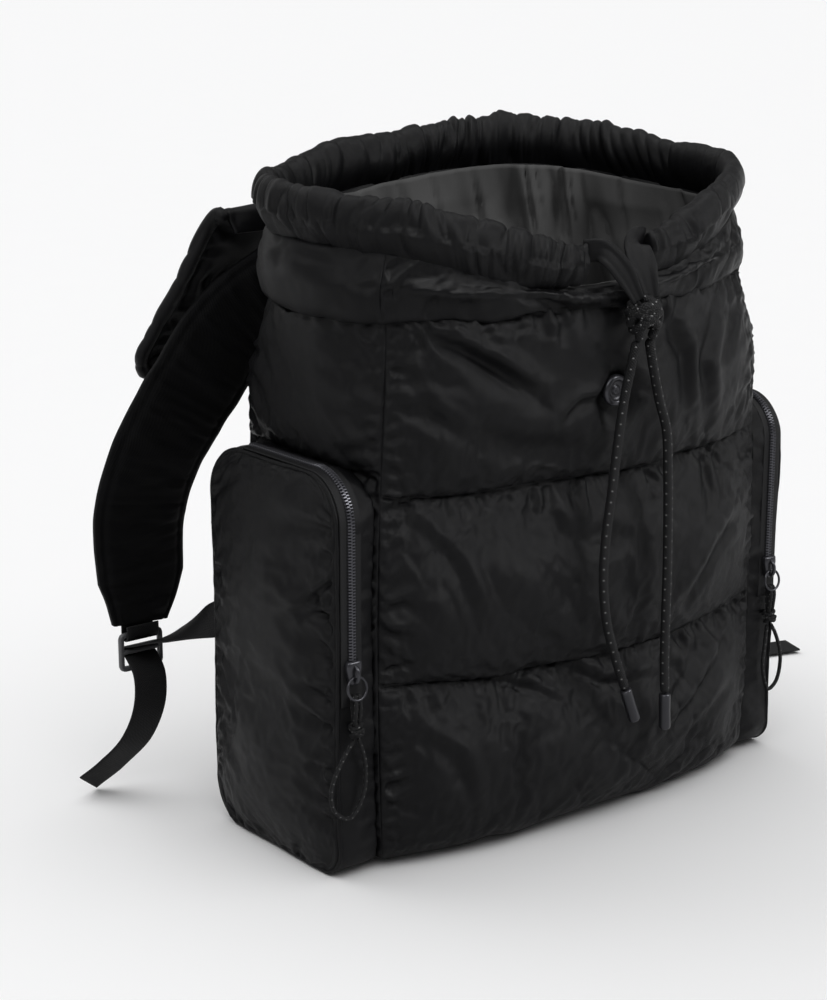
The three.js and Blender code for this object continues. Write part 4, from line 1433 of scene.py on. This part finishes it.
def cord_tab(name, made):
    """A folded strip of cloth that runs from the casing's end down into the knot."""
    route, width = CORD_TABS[name]
    path = resample(spline(route), 70)
    along = unit(np.gradient(path, axis=0))
    across = unit(np.cross(along, (0.15, 1, 0.1)))
    out = np.cross(across, along)
    share = np.linspace(0, 1, 70)[:, None]
    turn = 2 * np.pi * np.arange(48) / 48
    wide = width / 2 * lerp(1, 0.62, smoothstep(share, 0.55, 1))
    c = np.sign(np.cos(turn)) * np.abs(np.cos(turn)) ** 0.75
    u = c[None, :] * np.ones((70, 1))
    fold = 0.9 * np.exp(-(((u - 0.3) / 0.16) ** 2)) + 0.6 * np.exp(-(((u + 0.45) / 0.13) ** 2))
    cup = 1.6 * u**2 * lerp(0.4, 1, share)
    thick = 1.9 * np.sin(turn)[None, :] + np.where(np.sin(turn) > 0, 1, -0.3) * -fold
    rings = path[:, None] + across[:, None] * (wide * c)[..., None] + out[:, None] * (thick - cup)[..., None]
    return loft(f"cord_tab_cloth_{name}", rings, made["nylon"])


def mouth_line(count):
    """Points round the mouth from the right of the cord's gap to its left, and their outward directions."""
    stops = []
    half = half_width(np.float64(BODY_HEIGHT))
    first = (CASING_MIDDLE + CASING_OPENING) / half
    last = (CASING_MIDDLE - CASING_OPENING) / half
    for panel, low, high in (
        ("front", first, 1), ("right", -1, 1), ("back", -1, 1), ("left", -1, 1), ("front", -1, last)
    ):
        s = np.linspace(low, high, 200)
        points = outline(panel, s, np.full(200, float(BODY_HEIGHT)), 1.2)
        points[:, 2] = casing_seam(panel, s)
        stops.append(points if not stops else points[1:])
    line = resample(np.vstack(stops), count)
    radial = unit(from_mouth(line))
    return line, radial


def gathered_casing(sizes, made):
    """The tube round the mouth: folds run round its section, closer together where the cord pulls it."""
    count, sides = 1300, 40
    line, radial = mouth_line(count)
    run = arc(line)[:, None]
    turn = (2 * np.pi * np.arange(sides) / sides)[None, :]
    line[:, 2] += 0.6 + CASING_HEIGHT / 2 * math.cos(math.pi / 8) * 1.07
    ends = np.minimum(run, run[-1] - run)
    pinch = lerp(0.5, 1, smoothstep(ends, 0, 36))
    below = np.clip(-np.sin(turn), 0, 1)
    tight = np.zeros_like(run)
    for middle, reach in ((0, 55), (1, 70), (0.42, 60), (0.78, 55)):
        tight += np.exp(-(((run / run[-1] - middle) * run[-1] / reach) ** 2))
    tight = np.clip(tight, 0, 1)
    wander = 7 * np.sin(turn + 0.6 * noise(run / 50, 0 * turn, 5)) * noise(run / 34, 0 * turn, 4)
    folds = np.abs(noise((run + wander) / 7.5, turn / 2.6 + run / 60, 6, 1)) ** 0.7
    close = np.abs(noise((run + 0.6 * wander) / 3.9, turn / 2.2, 7, 1)) ** 0.8
    slow = noise(run / 24, turn / 1.8, 11, 1)
    amount = sizes.gather_depth * (0.7 + 0.6 * tight) * (folds - 0.42)
    amount += 0.9 * (0.35 + tight) * (close - 0.4) + 1.0 * slow
    amount *= 1 - 0.6 * below**5
    sway = 1.5 * noise(run / 30, 0 * turn, 12, 1) + 0.9 * noise(run / 11, 0 * turn, 13, 1)
    out = CASING_FLATNESS * CASING_THICKNESS / 2 * pinch * (
        1 - 0.72 * below**2.4
    ) * np.cos(turn) + amount * np.cos(turn) + sway * 0.5
    up = (CASING_HEIGHT / 2 * lerp(1, pinch, 0.6) * (1 + 0.17 * below**2) + amount) * np.sin(turn)
    up += sway * (1 - below)
    rings = line[:, None] + radial[:, None] * out[..., None]
    rings[..., 2] += up
    return loft("gathered_casing", rings, made["nylon"])


def hanging_lining(made):
    """The lining: one loose skin round the inside, with folds under the casing."""
    around = []
    for panel, count in (("front", 110), ("right", 60), ("back", 110), ("left", 60)):
        around += [(panel, s) for s in np.linspace(-1, 1, count, endpoint=False)]
    heights = np.concatenate([np.linspace(0.045, 0.895, 60) * BODY_HEIGHT])
    rows = [(h, -1.0, 0, 0.0) for h in heights] + [(FOLD, c, -1, 0.0) for c in np.linspace(0.15, 1, 18)]
    rows = np.array(rows)
    columns = []
    for panel, s in around:
        columns.append(wall_points(panel, np.array([s]), rows, 0, inner=True)[:, 0])
    grid = np.stack(columns, 1)
    slack = np.interp(np.arange(len(rows)), [0, 60, 70, len(rows) - 1], [1, 1, 1, 0.5])[:, None]
    run = arc(grid[40])[None, :]
    high = grid[..., 2]
    period = run.max()
    lean = run + 14 * noise(high / 70, run / 110, 21, 1) + 0.25 * (BODY_HEIGHT - high)
    wave = 3.4 * (np.abs(noise(lean / 21, high / 130, 22, 1)) ** 0.8 - 0.3)
    wave += 1.5 * (
        np.abs(noise(lean / 9, high / 50, 23, 1)) ** 0.8 - 0.4
    ) * smoothstep(high, 0.6 * BODY_HEIGHT, FOLD)
    blend = smoothstep(np.minimum(run, period - run), 0, 12)
    inwards = 1.2 + slack * (5.5 + 3.6 * wave * blend)
    radial = -unit(from_mouth(grid))
    outer = grid + radial * inwards[..., None]
    inner = grid + radial * (inwards + 1)[..., None]
    rings = np.concatenate([outer[::6], outer[-1:], inner[::-1]])
    piece = loft("hanging_lining", rings, made["lining"], looped=True)
    return piece


class BACKPACK_OT_pockets(bpy.types.Operator):
    """Adds the two side pockets: gussets, padded faces and piping"""

    bl_idname = "backpack.pockets"
    bl_label = "Pockets"

    def execute(self, context):
        sizes = context.scene.backpack_sizes
        made = finishes()
        for seed, (name, side) in enumerate(SIDES):
            face = pocket_face(name, side, sizes, made, seed)
            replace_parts(face, f"pocket_face_{name}")
            gusset = pocket_gusset(name, side, made, seed)
            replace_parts(gusset, f"pocket_gusset_{name}")
            pocket_piping(name, side, made, seed)
        return {"FINISHED"}


def pocket_edge(z, inset=0.0):
    """The pocket's front and back edges, in Y, at heights z."""
    low, top = POCKET_LOW + inset, POCKET_TOP - inset

    def pull_in(radius_low, radius_top):
        rl, rt = radius_low - inset, radius_top - inset
        below = np.clip((low + rl - z) / rl, 0, 1)
        above = np.clip((z - top + rt) / rt, 0, 1)
        return rl * (1 - np.sqrt(1 - below**2)) + rt * (1 - np.sqrt(1 - above**2))

    front = -POCKET_REACH + inset + pull_in(POCKET_CORNERS["bottom_front"], POCKET_CORNERS["top_front"])
    back = POCKET_REACH - inset - pull_in(POCKET_CORNERS["bottom_back"], POCKET_CORNERS["top_back"])
    return front, back


def pocket_rim(count, inset=0.0):
    """Evenly spaced points of the pocket's outline in Y and Z, up the front and down the back."""
    share = (1 - np.cos(np.pi * np.linspace(0, 1, 400))) / 2
    z = lerp(POCKET_LOW + inset, POCKET_TOP - inset, share)
    front, back = pocket_edge(z, inset)
    line = np.vstack([np.stack([front, z], 1), np.stack([back, z], 1)[::-1]])
    line = np.vstack([line, line[:1]])
    flat = np.column_stack([line, np.zeros(len(line))])
    return resample(flat, count + 1)[:-1, :2]


def pocket_plane(y, z, seed):
    """How far out the pocket's sewn edge stands, in X."""
    return POCKET_FACE_X + 1.5 * noise(y / 34 + 7 * seed, z / 46, 35, 1)


def pocket_face(name, side, sizes, made, seed):
    rows = int((POCKET_TOP - POCKET_LOW) / sizes.cloth_step)
    columns = int(2 * POCKET_REACH / sizes.cloth_step)
    share = lerp(np.linspace(0, 1, rows), (1 - np.cos(np.pi * np.linspace(0, 1, rows))) / 2, 0.75)
    z = lerp(POCKET_LOW + 1, POCKET_TOP - 1, share)
    front, back = pocket_edge(z, 1)
    u = wall_columns(columns)
    left, right = (back, front) if side < 0 else (front, back)
    y = lerp(left[:, None], right[:, None], (u[None, :] + 1) / 2)
    high = z[:, None] + 0 * y
    dome = np.clip(1 - np.abs(u) ** 2.6, 0, 1)[None, :] ** 0.6 * np.clip(
        1 - np.abs(2 * share - 1) ** 4, 0, 1
    )[:, None] ** 0.6
    x = pocket_plane(y, high, seed) + 0.6 + (8.5 + 3 * seed) * dome
    points = np.stack([side * x, y, high], -1)
    pinned = np.zeros((rows, columns), bool)
    pinned[[0, -1]] = True
    pinned[:, [0, -1]] = True
    points = settle(points, pinned, np.ones((rows, columns)), 2.6, 0.012, 8, 30 + seed)
    points = refine(points)
    a = refine_flat(y)
    b = refine_flat(high)
    amount = 1.2 * noise(a / 44 + 9 * seed, b / 60, 31 + seed, 1) + 0.15 * noise(a / 15, b / 20 + seed, 33, 1)
    amount += 1.2 * drape(a, b, 240 + 7 * seed, 1.25, 17, 90)
    edge_front = a - refine_flat(front[:, None] * np.ones(columns))
    edge_back = refine_flat(back[:, None] * np.ones(columns)) - a
    edge_low = b - POCKET_LOW
    edge_top = POCKET_TOP - b
    depth = sizes.pucker_depth
    amount += puckers(b, edge_front, 20, 205, 51 + seed, 9.5, 34, depth * 1.5, lean=0.45)
    amount += puckers(b, edge_back, 20, 205, 53 + seed, 9, 18, depth * 0.9, lean=0.4)
    amount += puckers(a, edge_top, -40, 40, 55 + seed, 8, 14, depth * 0.6, lean=0.3)
    amount += puckers(a, edge_low, -40, 40, 57 + seed, 8, 14, depth * 0.8, lean=0.3)
    rim = np.minimum(np.minimum(edge_front, edge_back), np.minimum(edge_low, edge_top))
    points = raise_by(points, amount * smoothstep(rim, 0.5, 4))

    def inner_of(up_index, across_index):
        inner = points[np.ix_(up_index, across_index)].copy()
        inner[..., 0] = side * (pocket_plane(inner[..., 1], inner[..., 2], seed) - 1.5)
        return inner

    return closed_panel(f"padded_pocket_face_{name}", points, inner_of, (14, 8), made["nylon"])


def body_side(y, z):
    """Where the body's side stands, in X, behind points of the pocket."""
    s = np.clip(y / (BODY_DEPTH / 2), -1, 1)
    hem = np.minimum(z / HEM_RADIUS, 1)
    inset = HEM_RADIUS * (1 - np.sqrt(1 - (1 - hem) ** 2))
    return outline("right", s, z, inset)[..., 0]


def pocket_gusset(name, side, made, seed):
    """The band round the pocket, from the body to the piping, doubled back on itself inside."""
    count, steps = 460, 26
    rim = pocket_rim(count)
    bore = pocket_rim(count, 3)
    start = body_side(rim[:, 0], rim[:, 1]) + 1.5
    run = arc(np.column_stack([rim, np.zeros(count)]))
    middle = np.array([0, (POCKET_LOW + POCKET_TOP) / 2])
    outward = np.zeros((count, 2))
    step = np.roll(rim, -1, axis=0) - np.roll(rim, 1, axis=0)
    outward[:, 0], outward[:, 1] = -step[:, 1], step[:, 0]
    outward = unit(outward)
    outward *= np.sign(np.sum(outward * (rim - middle), axis=1, keepdims=True))
    rings = []
    for k in range(steps + 1):
        t = k / steps
        x = lerp(start, pocket_plane(rim[:, 0], rim[:, 1], seed), t)
        swell = 1.3 * math.sin(math.pi * t) ** 0.8 * np.ones(count)
        ripple = 1.1 * noise(
            run / 6, np.full(count, 2 * t), 61 + seed
        ) * (1 - t) ** 0.6 + 0.4 * noise(run / 16, np.full(count, t), 63 + seed)
        floor_room = smoothstep(rim[:, 1], 1, 8)
        place = rim + outward * ((swell + ripple) * floor_room)[:, None]
        rings.append(np.stack([side * x, place[:, 0], place[:, 1]], 1))
    for k in (steps, steps // 2, 0):
        x = lerp(start, pocket_plane(rim[:, 0], rim[:, 1], seed), k / steps)
        rings.append(np.stack([side * x, bore[:, 0], bore[:, 1]], 1))
    return loft(f"pocket_gusset_cloth_{name}", rings, made["nylon"], looped=True)


def pocket_piping(name, side, made, seed):
    """A thin piped edge between the pocket's face and its gusset."""
    rim = pocket_rim(520, 0.4)
    path = np.column_stack([side * (pocket_plane(rim[:, 0], rim[:, 1], seed) + 0.4), rim])
    path[:, 2] = np.maximum(path[:, 2], 2.1)
    run = arc(path)
    sides = 12
    turn = 2 * np.pi * np.arange(sides) / sides
    closed = np.vstack([path[-1:], path, path[:1]])
    along = unit(np.gradient(closed, axis=0))[1:-1]
    across = np.tile((1.0, 0, 0), (len(path), 1))
    out = np.cross(along, across)
    size = 1.25 + 0.2 * noise(run / 6, 0 * run, 71, 1)
    rings = path[:, None] + size[:, None, None] * (
        np.cos(turn)[None, :, None] * across[:, None] + np.sin(turn)[None, :, None] * out[:, None]
    )
    piece = loft(f"pocket_piping_{name}", rings, made["nylon"], looped=True)
    return piece


class BACKPACK_OT_zips(bpy.types.Operator):
    """Adds the zips of the side pockets: tapes, teeth, sliders and pull rings"""

    bl_idname = "backpack.zips"
    bl_label = "Zips"

    def execute(self, context):
        sizes = context.scene.backpack_sizes
        made = finishes()
        for name, side in SIDES:
            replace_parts(zip_tape(name, side, made), f"zip_tape_{name}")
            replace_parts(zip_teeth(name, side, sizes, made), f"zip_teeth_{name}")
            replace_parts(zip_slider(name, side, made), f"zip_slider_{name}")
            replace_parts(pull_ring(name, side, made), f"pull_ring_{name}")
        return {"FINISHED"}


def zip_line(side, lift, end, count):
    """The zip's middle line round the top front corner of the gusset, and its direction out of the gusset."""
    radius = POCKET_CORNERS["top_front"]
    centre = np.array([-POCKET_REACH + radius, POCKET_TOP - radius])
    turn = np.radians(np.linspace(90, 180, 40))
    bend = centre + (radius + lift) * np.stack([np.cos(turn), np.sin(turn)], 1)
    line = np.vstack(
        [[POCKET_REACH - POCKET_CORNERS["top_back"], POCKET_TOP + lift], bend, [-POCKET_REACH - lift, end]]
    )
    path = resample(np.column_stack([np.full(len(line), side * ZIP_X), line]), count)
    along = unit(np.gradient(path, axis=0))
    out = np.cross(along, (1, 0, 0))
    out *= np.sign(np.sum(out * (path - (side * ZIP_X, 0, 110)), axis=1, keepdims=True))
    return path, along, out


def zip_tape(name, side, made):
    path, _, _ = zip_line(side, 1.0, ZIP_END - 26, 260)
    across = np.tile((1.0, 0, 0), (len(path), 1))
    return ribbon(f"zip_cloth_{name}", path, across, ZIP_TAPE, 1.2, made["webbing"])


def zip_teeth(name, side, sizes, made):
    """Two interlocking rows of small rounded teeth."""
    lift = 1.6
    path, _, _ = zip_line(side, lift, ZIP_END, 400)
    length = arc(path)[-1]
    count = int(length / sizes.tooth_pitch) * 2
    path, along, out = zip_line(side, lift, ZIP_END, count)
    points, faces = [], []
    base = np.array(
        [
            (-1, -1, 0),
            (1, -1, 0),
            (1, 1, 0),
            (-1, 1, 0),
            (-0.95, -0.9, 0.6),
            (0.95, -0.9, 0.6),
            (0.95, 0.9, 0.6),
            (-0.95, 0.9, 0.6),
            (-0.6, -0.5, 1),
            (0.6, -0.5, 1),
            (0.6, 0.5, 1),
            (-0.6, 0.5, 1),
        ],
        float,
    )
    quads = [(0, 3, 2, 1), (8, 9, 10, 11)]
    for low in (0, 4):
        for k in range(4):
            quads.append((low + k, low + (k + 1) % 4, low + 4 + (k + 1) % 4, low + 4 + k))
    for k in range(count):
        row = 1 if k % 2 else -1
        middle = path[k] + np.array([row * 0.85, 0, 0])
        tooth = (
            middle
            + base[:, :1] * np.array([1.5, 0, 0])
            + base[:, 1:2] * along[k] * 0.36 * sizes.tooth_pitch
            + base[:, 2:] * out[k] * 1.5
        )
        start = len(points)
        points.extend(tooth)
        faces.extend([[start + n for n in quad] for quad in quads])
    return make_mesh(f"zip_row_{name}", points, faces, None, made["metal"], smooth=False)


def zip_slider(name, side, made):
    """The slider's body and the bridge that its ring hangs in."""
    x = side * ZIP_X
    body = []
    for z, wide, out in (
        (0, 4.2, 3.4), (-0.8, 4.8, 4.2), (-4, 4.9, 4.6), (-8, 4.1, 4.6), (-12, 3.0, 4.4), (-13, 2.4, 3.6)
    ):
        turn = 2 * np.pi * (np.arange(24) + 0.5) / 24
        c, s = np.cos(turn), np.sin(turn)
        section = np.stack([np.sign(c) * np.abs(c) ** 0.5 * wide, np.sign(s) * np.abs(s) ** 0.5 * out / 2], 1)
        body.append(
            np.stack([x + section[:, 0], SLIDER_Y - 1.2 + section[:, 1], np.full(24, ZIP_END + z)], 1)
        )
    main = loft(f"slider_{name}", body, made["metal"])
    route = [
        (x, SLIDER_Y - 2.2, ZIP_END - 2),
        (x, SLIDER_Y - 5.2, ZIP_END - 4.2),
        (x, SLIDER_Y - 6, ZIP_END - 8),
        (x, SLIDER_Y - 4.6, ZIP_END - 11.2),
        (x, SLIDER_Y - 2, ZIP_END - 12),
    ]
    bridge = tube(f"slider_bridge_{name}", resample(spline(route), 30), 1.1, 12, made["metal"])
    return joined(f"slider_{name}", [main, bridge])


def pull_ring(name, side, made):
    turn = np.linspace(0, 2 * np.pi, 61)[:-1]
    centre = np.array([side * ZIP_X, PULL_Y, RING_Z])
    across = np.stack([np.cos(turn), 0 * turn, np.sin(turn)], 1)
    lean = np.array([0, -0.18, 0])
    path = centre + RING_REACH * across + lean * (RING_REACH * (1 - np.sin(turn)))[:, None]
    section = 2 * np.pi * np.arange(12) / 12
    rings = path[:, None] + RING_WIRE / 2 * (
        np.cos(section)[
            None, :, None
        ] * across[:, None] + np.sin(section)[None, :, None] * np.array([0, 1.0, 0])
    )
    return loft(f"ring_{name}", rings, made["metal"], looped=True)


class BACKPACK_OT_lid(bpy.types.Operator):
    """Adds the padded lid that hangs back behind the body, and its bound edge"""

    bl_idname = "backpack.lid"
    bl_label = "Lid"

    def execute(self, context):
        sizes = context.scene.backpack_sizes
        made = finishes()
        lid, binding = padded_lid(sizes, made)
        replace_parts(lid, "lid")
        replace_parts(binding, "lid_binding")
        return {"FINISHED"}


def lid_line():
    points = [(0, BODY_DEPTH / 2 + behind * LID_REACH, up * BODY_HEIGHT) for behind, up in LID_STATIONS]
    return resample(spline(points, 40), 400)


def lid_points(u, t, line, along, past=0.0):
    """Points of the lid's middle surface: u runs across it, t down it, past is a step beyond its edge."""
    end = np.clip(t - 1 + LID_CORNER, 0, None) / LID_CORNER
    rounded = LID_CORNER * LID_WIDTH * 0.5 * (1 - np.sqrt(1 - np.minimum(end, 1) ** 2))
    half = (LID_WIDTH + LID_SPREAD * t) / 2 - rounded + past
    at = np.clip(t, 0, 1) * (len(line) - 1)
    place = np.stack([np.interp(at, np.arange(len(line)), line[:, k]) for k in range(3)], -1)
    down = np.stack([np.interp(at, np.arange(len(line)), along[:, k]) for k in range(3)], -1)
    place[..., 0] += LID_SKEW * t + u * half
    return place + down * (past * end)[..., None], down


def padded_lid(sizes, made):
    line = lid_line()
    along = unit(np.gradient(line, axis=0))
    columns, rows = 170, 76
    u = wall_columns(columns)[None, :] * np.ones((rows, 1))
    t = lerp(
        np.linspace(0, 1, rows), (1 - np.cos(np.pi * np.linspace(0, 1, rows))) / 2, 0.5
    )[:, None] * np.ones(columns)
    middle, down = lid_points(u, t, line, along)
    full = np.sqrt(np.maximum(1 - u**4, 0)) * np.sqrt(np.abs(np.sin(np.pi * 2 * np.clip(t, 0, 1))))
    normal = np.stack([0 * u, down[..., 2], -down[..., 1]], -1)
    thick = lerp(3, 10.5, full)
    a = u * LID_WIDTH / 2
    b = t * 110
    run_edge = LID_WIDTH / 2 * (1 - np.abs(u))
    faces = []
    for turn, seed in ((1, 81), (-1, 85)):
        amount = 0.6 * noise(a / 30, b / 24, seed) + 0.3 * noise(a / 11, b / 12, seed + 1)
        amount += puckers(b, run_edge, 0, 110, seed + 2, 7, 20, sizes.pucker_depth)
        amount += puckers(a, 110 - b, -140, 140, seed + 3, 8, 18, sizes.pucker_depth)
        amount += puckers(a, np.abs(b - 55), -140, 140, seed + 4, 7, 12, sizes.pucker_depth)
        amount *= smoothstep(np.minimum(run_edge, 110 - b), 0, 5)
        faces.append(middle + normal * (turn * (thick / 2 + amount))[..., None])
    outer, inner = faces
    ring_rows = []
    for j in range(rows):
        ring_rows.append(np.concatenate([outer[j], inner[j][::-1]]))
    lid = loft("padded_lid", ring_rows, made["nylon"])
    stops = []
    past = 3.2
    for value in np.linspace(0.06, 1, 40):
        stops.append(lid_points(np.array(-1.0), np.array(value), line, along, past)[0])
    for value in np.linspace(-1, 1, 60)[1:-1]:
        stops.append(lid_points(np.array(value), np.array(1.0), line, along, past)[0])
    for value in np.linspace(1, 0.06, 40):
        stops.append(lid_points(np.array(1.0), np.array(value), line, along, past)[0])
    path = resample(np.array(stops), 520)
    relief = lambda run, turn: 1.7 * (np.abs(noise(run / 15, turn / 4, 88, 1)) ** 0.6 - 0.4)
    binding = tube("lid_bound_edge", path, 3.9, 20, made["nylon"], relief=relief)
    return lid, binding


class BACKPACK_OT_straps(bpy.types.Operator):
    """Adds the padded shoulder straps, their ladder locks and webbing"""

    bl_idname = "backpack.straps"
    bl_label = "Straps"

    def execute(self, context):
        made = finishes()
        for seed, (name, side) in enumerate(SIDES):
            pad = strap_pad(name, side, made, seed)
            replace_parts(pad, f"strap_pad_{name}")
            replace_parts(ladder_lock(name, side, made), f"ladder_lock_{name}")
            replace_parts(lock_tab(name, side, made), f"lock_tab_{name}")
            webbing = lower_webbing(name, side, made)
            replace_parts(webbing, f"webbing_{name}")
        return {"FINISHED"}


def strap_pad(name, side, made, seed):
    """A padded strap, gathered across by its stitching, with bound edges."""
    stations = np.array([strap_point(side, row) for row in PAD_STATIONS])
    each = 30
    path = spline(stations, each)
    count = len(path)
    station = np.linspace(0, len(PAD_STATIONS) - 1, count)
    wide = PAD_WIDTH * np.interp(station, np.arange(len(PAD_STATIONS)), [row[3] for row in PAD_STATIONS])
    along = unit(np.gradient(path, axis=0))
    across = unit(np.cross(along, (0, -1, 0)))
    normal = np.cross(across, along)
    t = np.linspace(0, 1, count)
    ends = np.sqrt(np.sin(np.pi * lerp(0.02, 0.98, t)))
    columns = 36
    u = np.sin(np.pi / 2 * np.linspace(-1, 1, columns))
    run = arc(path)
    rings = []
    for k in range(count):
        body = 1 - np.abs(u) ** 6
        thick = lerp(3, PAD_THICKNESS, np.minimum(1.4 * ends[k], 1) * body)
        groove = 1.1 * (np.exp(-(((np.abs(u) - 0.84) / 0.05) ** 2)))
        gather = 0.9 * noise(
            run[k] / 3.2 + 0.3 * u, u * 1.6, 91 + seed, 1
        ) + 0.7 * noise(run[k] / 8 + 0 * u, u * 2, 93 + seed, 1)
        half = thick / 2 - groove * 0.8 + gather * body
        sway = 0.5 * noise(run[k] / 12, 3.3, 95 + seed, 1)
        flat = path[k] + across[k] * ((u * wide[k] / 2) + sway)[:, None]
        top = flat + normal[k] * half[:, None]
        under = flat - normal[k] * half[:, None]
        rings.append(np.concatenate([top, under[::-1]]))
    return loft(f"padded_strap_{name}", rings, made["pad"])


def lock_heights():
    turn_radius = LOCK_BAR * 0.71 + 0.3 + WEBBING / 2
    top = strap_point(1, PAD_STATIONS[-1])[2] - 2 * turn_radius - 0.3
    return turn_radius, (top, top - LOCK_PITCH, top - 2 * LOCK_PITCH)


def ladder_lock(name, side, made):
    """A moulded frame: two side rails and three bars."""
    end = strap_point(1, PAD_STATIONS[-1])
    _, bars = lock_heights()
    x, y = side * end[0], end[1]
    rail_x = LOCK_WIDTH / 2 - LOCK_BAR / 2
    pieces = []
    high, low = bars[0], bars[2]
    frame_line = [(x - rail_x, y, high), (x + rail_x, y, high), (x + rail_x, y, low), (x - rail_x, y, low)]
    route = []
    for k in range(4):
        here, after, before = (np.array(frame_line[i % 4], float) for i in (k, k + 1, k - 1))
        route.append(here + unit(before - here) * 2.2)
        route.append(here + unit(before - here) * 0.6 + unit(after - here) * 0.6)
        route.append(here + unit(after - here) * 2.2)
    route = np.array(route + route[:1])
    path = resample(route, 160)[:-1]
    closed = np.vstack([path[-1:], path, path[:1]])
    along = unit(np.gradient(closed, axis=0))[1:-1]
    depth = np.array([0, 1.0, 0])
    inward = np.cross(along, depth)
    turn = 2 * np.pi * np.arange(14) / 14
    c = np.sign(np.cos(turn)) * np.abs(np.cos(turn)) ** 0.55
    s = np.sign(np.sin(turn)) * np.abs(np.sin(turn)) ** 0.55
    rings = path[:, None] + LOCK_BAR / 2 * (c[None, :, None] * inward[:, None] + s[None, :, None] * depth)
    pieces.append(loft(f"lock_{name}", rings, made["plastic"], looped=True))
    bar_path = np.linspace((x - rail_x, y, bars[1]), (x + rail_x, y, bars[1]), 20)
    pieces.append(
        tube(f"lock_bar_{name}", bar_path, LOCK_BAR / 2, 14, made["plastic"], rounded=False)
    )
    return joined(f"lock_{name}", pieces)


def half_turn(x, y, z, start, end, radius):
    turn = np.radians(np.linspace(start, end, 9))
    return [(x, y + radius * math.cos(a), z + radius * math.sin(a)) for a in turn]


def lock_tab(name, side, made):
    radius, bars = lock_heights()
    end = strap_point(1, PAD_STATIONS[-1])
    x, y = side * end[0], end[1]
    route = [
        (x, y - radius, end[2] - 0.8),
        *half_turn(x, y, bars[0], 180, 360, radius),
        (x, y + radius, end[2] - 0.8),
    ]
    path = resample(spline(route, 8), 60)
    return ribbon(
        f"lock_tab_cloth_{name}",
        path,
        np.tile((1.0, 0, 0), (60, 1)),
        WEBBING_WIDTH,
        WEBBING,
        made["webbing"],
    )


def lower_webbing(name, side, made):
    """The webbing from the body's back corner through the lock, and its free tail to the floor."""
    radius, bars = lock_heights()
    end = strap_point(1, PAD_STATIONS[-1])
    x, y = side * end[0], end[1]
    turn = [np.array(p) for p in half_turn(x, y, bars[1], 90, -90, radius)[::2]]
    route = [strap_point(side, row) for row in LOAD_STATIONS] + turn + [
        strap_point(side, row) for row in TAIL_STATIONS[name]
    ]
    path = spline(route, 14)
    share = np.linspace(0, 1, len(path))
    twist = np.pi / 2 * smoothstep(share, 0, 0.3)
    across = np.stack([np.sin(twist), 0 * twist, np.cos(twist)], 1)
    late = smoothstep(share, 0.7, 0.9)[:, None]
    across = lerp(across, np.array(TAIL_ENDS[name], float), late)
    return ribbon(f"webbing_band_{name}", path, across, WEBBING_WIDTH, WEBBING, made["webbing"])


class BACKPACK_OT_snap(bpy.types.Operator):
    """Adds the snap on the front that the lid closes on"""

    bl_idname = "backpack.snap"
    bl_label = "Snap"

    def execute(self, context):
        made = finishes()
        y, z = -90.5, SNAP_HEIGHT
        profile = (
            (-1.5, 8.2),
            (0, 9),
            (1.4, 9),
            (2.4, 8.5),
            (3, 7.6),
            (2.9, 6.4),
            (2.2, 5.8),
            (1.2, 5.4),
            (0.9, 3.6),
            (0.9, 2.6),
            (1.7, 2.3),
            (1.8, 1.6),
            (1.2, 0.6),
        )
        turn = 2 * np.pi * np.arange(40) / 40
        rings = [
            np.stack([r * np.cos(turn), np.full(40, y - out), z + r * np.sin(turn)], 1) for out, r in profile
        ]
        snap = loft("snap_socket", rings, made["metal"])
        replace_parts(snap, "snap")
        return {"FINISHED"}


class BACKPACK_PT_panel(bpy.types.Panel):
    """Lists the pieces of the backpack"""

    bl_label = "Quilted Backpack"
    bl_idname = "BACKPACK_PT_panel"
    bl_space_type = "VIEW_3D"
    bl_region_type = "UI"
    bl_category = "Backpack"

    def draw(self, context):
        for group in (
            context.scene.backpack_sizes, context.scene.backpack_tones, context.scene.backpack_studio
        ):
            for key in group.__annotations__:
                self.layout.prop(group, key)
        for operator in OPERATORS:
            self.layout.operator(operator.bl_idname)


OPERATORS = (
    BACKPACK_OT_stage,
    BACKPACK_OT_cords,
    BACKPACK_OT_body,
    BACKPACK_OT_mouth,
    BACKPACK_OT_pockets,
    BACKPACK_OT_zips,
    BACKPACK_OT_lid,
    BACKPACK_OT_straps,
    BACKPACK_OT_snap,
)
GROUPS = (BackpackSizes, BackpackTones, BackpackStudio)


def register():
    for item in (*GROUPS, *OPERATORS, BACKPACK_PT_panel):
        bpy.utils.register_class(item)
    bpy.types.Scene.backpack_sizes = bpy.props.PointerProperty(type=BackpackSizes)
    bpy.types.Scene.backpack_tones = bpy.props.PointerProperty(type=BackpackTones)
    bpy.types.Scene.backpack_studio = bpy.props.PointerProperty(type=BackpackStudio)


def unregister():
    del bpy.types.Scene.backpack_studio
    del bpy.types.Scene.backpack_tones
    del bpy.types.Scene.backpack_sizes
    for item in reversed((*GROUPS, *OPERATORS, BACKPACK_PT_panel)):
        bpy.utils.unregister_class(item)


def main():
    register()
    bpy.ops.backpack.stage()
    bpy.ops.backpack.cords()
    bpy.ops.backpack.body()
    bpy.ops.backpack.mouth()
    bpy.ops.backpack.pockets()
    bpy.ops.backpack.zips()
    bpy.ops.backpack.lid()
    bpy.ops.backpack.straps()
    bpy.ops.backpack.snap()
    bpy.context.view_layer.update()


if __name__ == "__main__":
    main()
